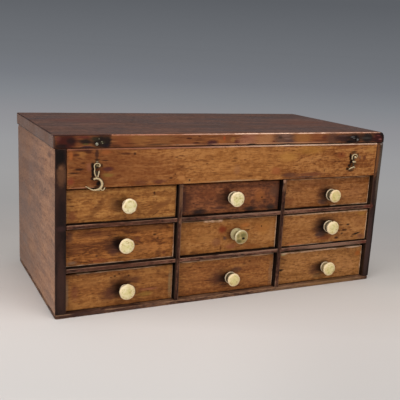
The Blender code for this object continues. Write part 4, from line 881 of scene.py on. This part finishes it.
# How dark the hands' grease and the painted shadow round each knob are, how far they reach, in
# millimetres, and how strong the grain shows.
HALOS = {"top_left": (0.55, 9.5, 1), "top_middle": (0.95, 11, 0.7), "top_right": (0.98, 12, 1),
         "middle_left": (0.92, 12, 1.3), "middle_middle": (0.55, 9, 0.7), "middle_right": (1, 13.5, 0.88),
         "bottom_left": (0.9, 12.5, 0.78), "bottom_middle": (0.97, 12, 0.8), "bottom_right": (0.85, 11, 0.8)}
for place, (dark, middle, light, seed, marks) in FRONTS.items():
    node = "drawer_%s_front" % place
    low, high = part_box(node)
    knob_low, knob_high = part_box(node.replace("front", "knob"))
    knob_x, knob_z = (knob_low.x + knob_high.x) / 2 / MM, (knob_low.z + knob_high.z) / 2 / MM
    strength, reach, grain = HALOS[place]
    front = wood(node + "_wood", dark, middle, light, seed, ALONG_X, 0.42, 0.34, 0.26 * grain,
                 dashes=0.45 * grain, streaks=0.70 * grain)
    back_by = (low.y - FRONT) / VIEW_DEPTH
    front.front_marks([(x + back_by * (x - VIEW_X / MM), z + back_by * (z - VIEW_Z / MM), *rest)
                       for x, z, *rest in marks])
    # Dark halo round each knob, mostly to its left: grease from hands with painted shadow of the knob,
    # darkest in its inner part.
    front.front_marks([(knob_x - 4.0, knob_z + 0.5, 1.6 * reach, 1.2 * reach, GREASE_AND_SHADOW, 0.65 * strength),
                       (knob_x - 3.4, knob_z + 0.4, reach, 0.85 * reach, "140703", strength)])
    specks = front.add("TexVoronoi", {"Vector": front.place, "Scale": 85.0}).outputs["Distance"]
    sparse = front.fade(front.mottle(55, 2), 0.55, 0.60)
    front.layer(front.times(front.fade(specks, 0.10, 0.05), sparse), "351c10")
    # Dark along every edge of the front and black along its foot: painted shade of the gaps round the drawer,
    # with grime.
    front.edge_wear_grime_and_shade(low, high, 0.0016, "4a2a18", 0.45, 0.9)
    front.edge_stretch_wear_and_shade(low, high, "foot", 0.0, 1.0, 0.0009, "160a05", 0.85)
    for edge, start, end, width, share in PALE_EDGES[place]:
        front.edge_stretch_wear_and_shade(low, high, edge, start, end, width * MM, "e0b693", share)
    worn_top = (low.x + 0.2 * (high.x - low.x), high.z, 0.012, 0.0003, 0.0004)
    worn_corner = (high.x, high.z, 0.004, 0.0005, 0.0005)
    made = board(node, "xz", 0.0004, seed, [worn_top, worn_corner], pitch=0.0016)
    stand_in(made, node, front.done())
    inner = wood("drawer_%s_pale_wood" % place, "98714a", "b8905f", "d0ab7a", seed + 2, shine=0.65,
                 cloudy=0.35, lines=0.3)
    inner.edge_wear_grime_and_shade(*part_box("drawer_%s_walls" % place), 0.003, "7a5838", 0.5, 0.9)
    inner.ragged_mark((low.x + 0.04, 0.02, low.z), (0.02, 0.03, 0.02), "8a6844", 0.5)
    pale = inner.done()
    for part in ("walls", "bottom"):
        dress("drawer_%s_%s" % (place, part), pale)

# Knobs
# Eight turned bone knobs and a brass one that took the place of a lost one. Each was turned with a
# domed disc, a waisted neck and a small flange, and is pushed into the front by a spigot.


def smooth_line(points, steps):
    """Catmull-Rom curve through points: each span is the cubic that leaves and arrives at the slopes
    between its neighbours."""
    points = np.array(points, float)
    padded = np.concatenate([2 * points[:1] - points[1:2], points, 2 * points[-1:] - points[-2:-1]])
    before, start, end, after = (padded[k:len(points) - 1 + k][:, None] for k in range(4))
    t = np.linspace(0, 1, steps, endpoint=False)[None, :, None]
    curve = (2 * start + (end - before) * t + (2 * before - 5 * start + 4 * end - after) * t ** 2
             + (3 * start - before - 3 * end + after) * t ** 3) / 2
    return np.concatenate([curve.reshape(-1, points.shape[1]), points[-1:]])


# Profiles of the heads, whose radii are shares of the head's, and of the feet, in millimetres.
BONE_HEAD = [(0.03, 9.6), (0.42, 9.55), (0.76, 9.25), (0.9, 8.95), (0.98, 8.4), (1, 7.7), (0.98, 7),
             (0.89, 6.45)]
BONE_FOOT = [(4.3, 6.1), (3.1, 5.3), (2.6, 4.0), (2.7, 2.4), (3.4, 1.3), (4.6, 1.0), (5.3, 1.35), (5.9, 1.4),
             (6.1, 0.8), (5.9, 0.2), (5.9, 0.0)]
BRASS_HEAD = [(0.03, 12.5), (0.43, 12.4), (0.77, 12), (0.9, 11.7), (0.985, 11.1), (1, 10.6), (0.94, 10)]
BRASS_FOOT = [(4.6, 9.4), (3.0, 8.4), (2.5, 6.6), (2.6, 4.6), (3.3, 2.8), (4.9, 1.7), (5.9, 1.3), (6.2, 0.8),
              (6.0, 0.2), (6.0, 0.0)]
SPIGOT = 2.7
PIT, PIT_RADIUS, PIT_DEPTH = (0.0014, -0.0010), 0.0008, 0.0012
# How each knob has aged: how yellow its head is, the size of its flange, the colour of its neck and flange
# behind the head, grime with painted shade, and the flats worn on its rim, as an angle and a depth share.
HEADS = {
    "top_left": (0.15, 0.68, "6d5f45", [(150, 0.12), (-15, 0.07), (-60, 0.04), (60, 0.03)]),
    "top_middle": (0.25, 1.0, "75684b", [(100, 0.03), (-130, 0.03)]),
    "top_right": (0.85, 1.0, "2e2013", [(160, 0.03), (-20, 0.03)]),
    "middle_left": (0.20, 0.58, "6d5f45", [(150, 0.03), (60, 0.05)]),
    "middle_middle": (0.0, 1.0, "6d5f45", [(80, 0.01)]),
    "middle_right": (0.45, 1.0, "4a3c2a", [(100, 0.05), (-10, 0.04), (-120, 0.05)]),
    "bottom_left": (0.40, 0.72, "8a7750", [(115, 0.09), (60, 0.04), (-160, 0.04)]),
    "bottom_middle": (0.70, 0.98, "3a2a18", [(35, 0.06), (-150, 0.04)]),
    "bottom_right": (0.60, 0.92, "8d7752", [(120, 0.05), (-40, 0.05)]),
}


def facets(flats, seed):
    """Share of the full radius round a worn rim: flats at the given angles and depths, each of which cuts
    the circle as a chord does, and a slow unevenness."""
    turn = full_turn(TURNS)
    angle, depth = np.array(flats, float).T[:, :, None]
    chord = (1 - depth) / np.maximum(np.cos(turn - np.radians(angle)), 0.3)
    return np.minimum(1, chord.min(0)) * (1 - 0.006 * (1 + np.sin(2 * turn + seed)))


for number, place in enumerate(FRONTS):
    node = "drawer_%s_knob" % place
    low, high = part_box(node)
    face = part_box("drawer_%s_front" % place)[0].y
    centre = ((low.x + high.x) / 2, face, (low.z + high.z) / 2)
    brass = place == "middle_middle"
    yellow, flange, neck_grime_and_shade, flats = HEADS[place]
    head, foot = (BRASS_HEAD, BRASS_FOOT) if brass else (BONE_HEAD, BONE_FOOT)
    radius = (high.x - low.x) / 2
    foot = np.array(foot)
    foot[:, 0] = np.where(foot[:, 1] < 2.0, np.maximum(foot[:, 0] * flange, SPIGOT), foot[:, 0])
    profile = smooth_line(np.concatenate([np.array(head) * (radius / MM, 1), foot]), 4) * MM
    rings = turned(profile, centre, TURNS)
    share = np.clip(profile[:, :1] / radius, 0, 1) ** 2 * (profile[:, 1:] > 0.0055)
    scale = 1 - share * (1 - facets(flats, number))
    middle = (centre[0], centre[2])
    rings[..., (0, 2)] = (rings[..., (0, 2)] - middle) * scale[..., None] + middle
    if brass:
        away = np.hypot(rings[..., 0] - centre[0] - PIT[0], rings[..., 2] - centre[2] - PIT[1])
        rings[..., 1] += PIT_DEPTH / (1 + (away / PIT_RADIUS) ** 6) * (rings[..., 1] < face - 0.0115)
        finish = metal(node + "_brass", "c8b077", "85703c", "2a2012", 420, 0.40)
        finish.shader.inputs["Metallic"].default_value = DULLED
    else:
        finish = Finish(node + "_bone", 0.38)
        finish.ragged(420)
        finish.blend(finish.fade(finish.mottle(150, 2), 0.3, 0.7), "d7c493", "ecdfba")
    from_middle = finish.arrow("SUBTRACT", finish.place, centre)
    rim = finish.arrow("LENGTH", finish.arrow("MULTIPLY", from_middle, (1, 0, 1)))
    if brass:
        finish.layer(finish.fade(finish.y, face - 0.0100, face - 0.0080, 0.0, 0.75), "4a3f1c")
        finish.layer(finish.fade(finish.y, face - 0.0030, face - 0.0016, 0.0, 0.9), "b9a97e")
        # Pale ring round the rim of the head's face: painted highlight.
        finish.layer(finish.times(finish.fade(rim, 0.0052, 0.0066, 0.0, 0.7),
                                  finish.fade(finish.y, face - 0.0098, face - 0.0110)), "d6c9a4")
        for x, z, size, over, share in ((1.4, -1, (0.0026, 0.01, 0.0019), "040302", 1.0),
                                        (1, 2.2, (0.0045, 0.002, 0.0035), "5d5b2e", 0.7),
                                        (-3, -3.5, (0.0045, 0.002, 0.003), "4d4a1f", 0.75),
                                        (-4, 1.5, (0.0022, 0.002, 0.0030), "67643a", 0.6)):
            finish.ragged_mark((centre[0] + x * MM, face - 0.012, centre[2] + z * MM), size, over, share)
    else:
        grainy = finish.mottle((260, 260, 2300), 3)
        finish.layer(0.75 * yellow, "cfaf6b")
        finish.layer(finish.fade(grainy, 0.42, 0.32, 0.0, 0.45), "b39a5e")
        finish.layer(finish.fade(finish.mottle((520, 200, 520), 3), 0.50, 0.62, 0.0, 0.65), "b8b066")
        finish.ragged_mark((centre[0] - 0.0005, low.y, centre[2] - 0.0008), (0.0050, 0.004, 0.0046), "d3cd86", 0.3)
        finish.layer(finish.times(finish.fade(rim, radius - 0.0018, radius - 0.0006, 0.0, 0.5),
                                  finish.fade(finish.y, face - 0.006, face - 0.007)), "ecd2b0")
        # Neck and flange behind the head take that colour: grime on the flange, painted shade on the neck
        # under the head.
        finish.layer(finish.times(finish.fade(finish.y, face - 0.0066, face - 0.0058), 0.9), neck_grime_and_shade)
        finish.layer(finish.times(finish.fade(finish.y, face - 0.0030, face - 0.0016),
                                  finish.fade(rim, 0.0052 * flange, 0.0057 * flange, 0.0, 0.9)), "d2bb9a")
        draw = np.random.default_rng(300 + number)
        for _ in range(3):
            angle, out = draw.uniform(0, 2 * math.pi), draw.uniform(2.0, 5.5) * MM
            spot = (centre[0] + out * math.cos(angle), low.y, centre[2] + out * math.sin(angle))
            finish.ragged_mark(spot, (0.0016, 0.004, 0.0009), "a8874f", 0.55, draw.uniform(0, 3))
        finish.emboss(grainy, 0.3, 0.0002)
    stand_in(shells(node + "_turned", [rings]), node, finish.done())

# Hooks, their pins and the studs
# Small cast brass hooks that hang from the rail by round-headed pins and once caught studs in the lid.
# The left one is whole: a scrolled eye, a two-strand neck, a crescent with a ball and a leaf behind it.
# The right one has lost its crescent below the neck.

THICK = 0.0016
STAND_OFF = 0.0004
BAR_MIDDLE = FRONT - STAND_OFF - THICK / 2


def cast_bar(pivot, points, depth):
    """Bar along a smooth line of (x, z, half width), in millimetres from the pivot. Its section is an
    ellipse across the line; past each end the width and depth shrink as those of a ball do."""
    line = smooth_line(points, 6) * MM
    along = np.gradient(line[:, :2], axis=0)
    along /= np.linalg.norm(along, axis=1)[:, None]
    t = np.array([0.98, 0.85, 0.6, 0.3])[:, None]
    shrink = np.sqrt(1 - t ** 2)
    first = np.concatenate([line[:1, :2] - along[:1] * line[0, 2] * t, line[0, 2] * shrink], 1)
    last = np.concatenate([line[-1:, :2] + along[-1:] * line[-1, 2] * t, line[-1, 2] * shrink], 1)[::-1]
    path = np.concatenate([first, line, last])
    along = np.concatenate([np.repeat(along[:1], 4, 0), along, np.repeat(along[-1:], 4, 0)])
    thick = np.concatenate([shrink[:, 0], np.ones(len(line)), shrink[::-1, 0]])[:, None] * THICK / 2 * depth
    turn = full_turn(16)
    wide, deep = path[:, 2:] * np.cos(turn), thick * np.where(np.sin(turn) > 0, 1, 0.6) * np.sin(turn)
    return np.stack([pivot[0] + path[:, :1] - along[:, 1:] * wide, BAR_MIDDLE - deep,
                     pivot[1] + path[:, 1:2] + along[:, :1] * wide], -1)


# Strokes of each hook, in millimetres from its pivot: points with half widths, and the depth's share.
HOOK_STROKES = {
    "left_hook": [
        ([(-2, -3.1, 0.45), (-2.45, -1.4, 0.6), (-2.4, 0.1, 0.7), (-1.5, 1.35, 0.72), (0.3, 1.75, 0.68),
          (1.9, 1.15, 0.72), (2.5, -0.1, 0.75), (1.65, -0.75, 1.15)], 1),
        ([(-0.9, 3.1, 0.55), (-0.1, 3.25, 0.72), (0.7, 3.1, 0.55)], 0.8),
        ([(-0.1, 1.9, 0.8), (-0.1, 2.9, 0.8)], 0.7),
        ([(-1.7, -2.6, 0.6), (-0.7, -1, 0.9), (0, 0, 1.15)], 0.5),
        ([(-2, -3.3, 0.5), (-2.25, -5, 0.72), (-2, -6.9, 0.72), (-1.3, -8.7, 0.6), (-0.4, -10.2, 0.6)], 1),
        ([(1.7, -5, 0.78), (1.55, -6.2, 0.8), (1.2, -7.8, 0.68), (0.6, -9.9, 0.65)], 1),
        ([(-0.3, -6, 1.2), (-0.1, -8, 1.2), (0, -10.2, 1)], 0.5),
        ([(-2.35, -11.45, 1.3), (-1.5, -11.15, 1.15), (-0.3, -11.1, 1.05), (1.8, -11.7, 1.25),
          (3.6, -13.3, 1.35), (4.5, -15.6, 1.5), (4.1, -18, 1.6), (2.2, -20.2, 1.4), (-0.7, -20.85, 1),
          (-3.1, -20.9, 0.85), (-5.5, -20, 0.72), (-8, -18.5, 0.55), (-9.9, -17.4, 0.28)], 1),
        ([(2.8, -20, 0.7), (4.3, -21.2, 0.65), (5.5, -21.3, 0.68), (6.4, -20.4, 0.66),
          (6.9, -19.1, 0.46)], 1),
        ([(1.6, -21.3, 0.75), (2.6, -21.8, 0.5)], 0.8)],
    "right_hook": [
        ([(-2.9, -2.2, 0.75), (-3.1, -0.7, 1), (-2.95, 0.8, 1.1), (-1.75, 2.25, 1), (0.3, 2.75, 0.85),
          (2.1, 2.25, 0.8), (3, 1.2, 0.7), (2.9, 0, 0.65), (1.9, -0.9, 0.75), (0.5, -0.6, 1.15)], 1),
        ([(-2.4, -1.4, 0.7), (-1.2, -0.5, 0.9), (0, 0, 1.15)], 0.5),
        ([(-1.6, -1.8, 0.9), (-0.7, -3.6, 1)], 0.6),
        ([(-1.7, -4.6, 1.05), (-0.9, -4.75, 1.35), (0.4, -4.85, 1.35), (1.5, -4.95, 1)], 1),
        ([(-0.3, -5.8, 1), (-0.4, -7.4, 0.85), (-0.1, -9.8, 0.9)], 0.6),
        ([(-5.5, -12.25, 0.75), (-4, -11.5, 1), (-2, -10.75, 1.05), (0.2, -10.2, 0.95),
          (1.3, -10.5, 0.7)], 1),
        ([(-0.4, -10.6, 0.5), (0.9, -11.5, 0.42)], 0.8)],
}


def cast_brass(name, shade, patina, dirt_and_shade):
    """Old unpolished brass, dull and pinkish, darker low down on the sides of each bar as painted shade so
    that what stands out reads lit, and darker in its hollows with grime and painted shade.
    """
    finish = metal(name, shade, patina, dirt_and_shade, 520, 0.44)
    finish.shader.inputs["Metallic"].default_value = DULLED
    # Painted shade: darker low down on the sides of each bar, away from its ridge.
    finish.layer(finish.fade(finish.y, FRONT - 0.00200, FRONT - 0.00168, 0.0, 0.94), dirt_and_shade)
    return finish.done()


hook_brass = cast_brass("hook_brass", "ecd6ae", "b0915f", "20140a")
stud_metal = cast_brass("stud_metal", "b0ab98", "5f5a4a", "17120c")
pin_metal = cast_brass("pin_metal", "7d6a45", "4d3f24", "17100a")
dull_metal = cast_brass("dull_metal", "6b6864", "403c38", "110d0a")
DOME = [(0.02, 1.0), (0.45, 0.93), (0.8, 0.72), (1.0, 0.38), (1.0, 0.15), (0.85, 0.0)]


def round_head(node, radius, head, thick, name):
    """Round-headed pin: a domed head clear of the rail and a shank into the wood."""
    low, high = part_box(node)
    centre = ((low.x + high.x) / 2, FRONT, (low.z + high.z) / 2)
    seat = FRONT - low.y - head
    shank = [(thick, seat - 0.0001), (thick, -0.0040), (0.0002, -0.0045)]
    profile = [(r * radius, seat + rise * head) for r, rise in DOME] + shank
    return shells(name, [turned(profile, centre, 32)])


for node, strokes in HOOK_STROKES.items():
    low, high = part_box(node + "_pin")
    pivot = ((low.x + high.x) / 2, (low.z + high.z) / 2)
    made = shells(node + "_cast", [cast_bar(pivot, points, depth) for points, depth in strokes])
    stand_in(made, node, hook_brass)
    pin = round_head(node + "_pin", 0.00115, 0.0006, 0.0009, node + "_round_pin")
    stand_in(pin, node + "_pin", pin_metal if node == "left_hook" else hook_brass)
for node, material in (("left_stud", stud_metal), ("right_stud", dull_metal)):
    stand_in(round_head(node, 0.0013, 0.0008, 0.0007, node + "_round"), node, material)

# Stage, lamps and camera
# Not part of the box: a plain pale floor that greys away behind it, soft studio lamps, and a camera
# where the photographer stood.

EYE = np.array([-0.2903, -0.5999, 0.2350])
YAW, PITCH, ROLL = (math.radians(angle) for angle in (-26.06, -13.27, -3.07))
LENS = 58.28
FLOOR_REACH, FLOOR_POINTS = 40.0, 9
COOL_FILL, FILL_STRENGTH = (0.93, 0.96, 1.0, 1.0), 0.34

share = np.linspace(-FLOOR_REACH, FLOOR_REACH, FLOOR_POINTS)
grid = np.pad(np.stack(np.meshgrid(share, share, indexing="ij"), -1), ((0, 0), (0, 0), (0, 1)))
mesh = bpy.data.meshes.new("floor")
index = np.arange(FLOOR_POINTS ** 2).reshape(FLOOR_POINTS, FLOOR_POINTS)
quads = np.stack([index[:-1, :-1], index[1:, :-1], index[1:, 1:], index[:-1, 1:]], -1).reshape(-1, 4)
mesh.from_pydata(grid.reshape(-1, 3).tolist(), [], quads.tolist())
floor = bpy.data.objects.new("floor", mesh)
bpy.context.scene.collection.objects.link(floor)
floor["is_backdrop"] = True

paper = Finish("pale_paper", roughness=0.9)
from_eye = paper.arrow("SUBTRACT", paper.place, (EYE[0], EYE[1], 0.0))


def reach(way):
    """How far a place lies from the eye in a level direction."""
    x, y, _ = paper.add("SeparateXYZ", {0: paper.arrow("MULTIPLY", from_eye, way)}).outputs
    return paper.sum("ADD", x, y)


ahead = paper.sum("MAXIMUM", reach((math.sin(-YAW), math.cos(-YAW), 0.0)), 0.2)
slant = paper.sum("DIVIDE", EYE[2], ahead)
aside = paper.sum("DIVIDE", reach((math.cos(-YAW), -math.sin(-YAW), 0.0)), ahead)
paper.colour = paper.ramp(slant, (
    (0, "6d7075"), (0.0185, "707378"), (0.05, "777a80"), (0.08, "83868b"), (0.11, "8f8f93"),
    (0.156, "9a9a9c"), (0.205, "9f9e9e"), (0.252, "9e9c9b"), (0.3, "a5a09d"), (0.336, "b4aea9"),
    (0.37, "c2bbb5"), (0.405, "c6beb8"), (0.46, "d3ccc7"), (0.58, "cbc6c2")))
# Painted shade: the near floor darkens a little towards the right.
paper.layer(paper.times(paper.fade(aside, 0.0, 0.30, 0.0, 0.10), paper.fade(slant, 0.40, 0.47)), "000000")
rays = paper.add("LightPath").outputs
seen = paper.sum("MAXIMUM", rays["Is Camera Ray"], rays["Is Glossy Ray"])
glow = paper.add("Emission", {"Color": paper.colour}).outputs[0]
far_away = paper.times(seen, paper.fade(slant, 0.37, 0.29))
mixed = paper.add("MixShader", {0: far_away, 1: paper.shader.outputs[0], 2: glow})
floor.data.materials.append(paper.done())
paper.tree.links.new(mixed.outputs[0], paper.tree.nodes["Material Output"].inputs["Surface"])

world = bpy.data.worlds.new("studio")
bpy.context.scene.world = world
world.use_nodes = True
world.node_tree.nodes.clear()
air = Nodes(world.node_tree)
upward = air.add("SeparateXYZ", {0: air.add("TexCoord").outputs["Generated"]}).outputs[2]
sky = air.ramp(upward, ((0.0, "6d7075"), (0.07, "5d6065"), (0.5, "54575b")))
fill = air.add("Background", {0: COOL_FILL, 1: FILL_STRENGTH}).outputs[0]
rays = air.add("LightPath").outputs
seen = air.sum("MAXIMUM", rays["Is Camera Ray"], rays["Is Glossy Ray"])
seen = air.sum("MAXIMUM", seen, rays["Is Transmission Ray"])
mixed = air.add("MixShader", {0: seen, 1: fill, 2: air.add("Background", {0: sky}).outputs[0]})
air.add("OutputWorld", {0: mixed.outputs[0]})

AIM = Vector((0, 0, 0.07))
for name, place, size, power, shade in (
        ("key_softbox", (0.38, -1.50, 1.35), 1.5, 14.7, (1.0, 0.975, 0.94)),
        ("fill_softbox", (-1.5, -0.85, 1.00), 1.2, 23.0, (0.98, 0.98, 1.0)),
        ("top_softbox", (-0.1, -0.30, 1.70), 1.2, 10.0, (1.0, 0.99, 0.97))):
    lamp = bpy.data.lights.new(name, "AREA")
    lamp.shape = "SQUARE"
    lamp.size, lamp.energy, lamp.color = size, power, shade
    holder = bpy.data.objects.new(name, lamp)
    holder.location = place
    holder.rotation_euler = (Vector(place) - AIM).to_track_quat("Z", "Y").to_euler()
    bpy.context.scene.collection.objects.link(holder)

camera_data = bpy.data.cameras.new("camera")
camera_data.lens, camera_data.sensor_width = LENS, 36.0
camera = bpy.data.objects.new("camera", camera_data)
stand = Matrix.Translation(EYE.tolist())
for angle, axis in ((YAW, "Z"), (PITCH, "X"), (ROLL, "Y"), (math.pi / 2, "X")):
    stand = stand @ Matrix.Rotation(angle, 4, axis)
camera.matrix_world = stand
bpy.context.scene.collection.objects.link(camera)
bpy.context.scene.camera = camera
bpy.context.scene.view_settings.view_transform = "Standard"

low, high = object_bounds()
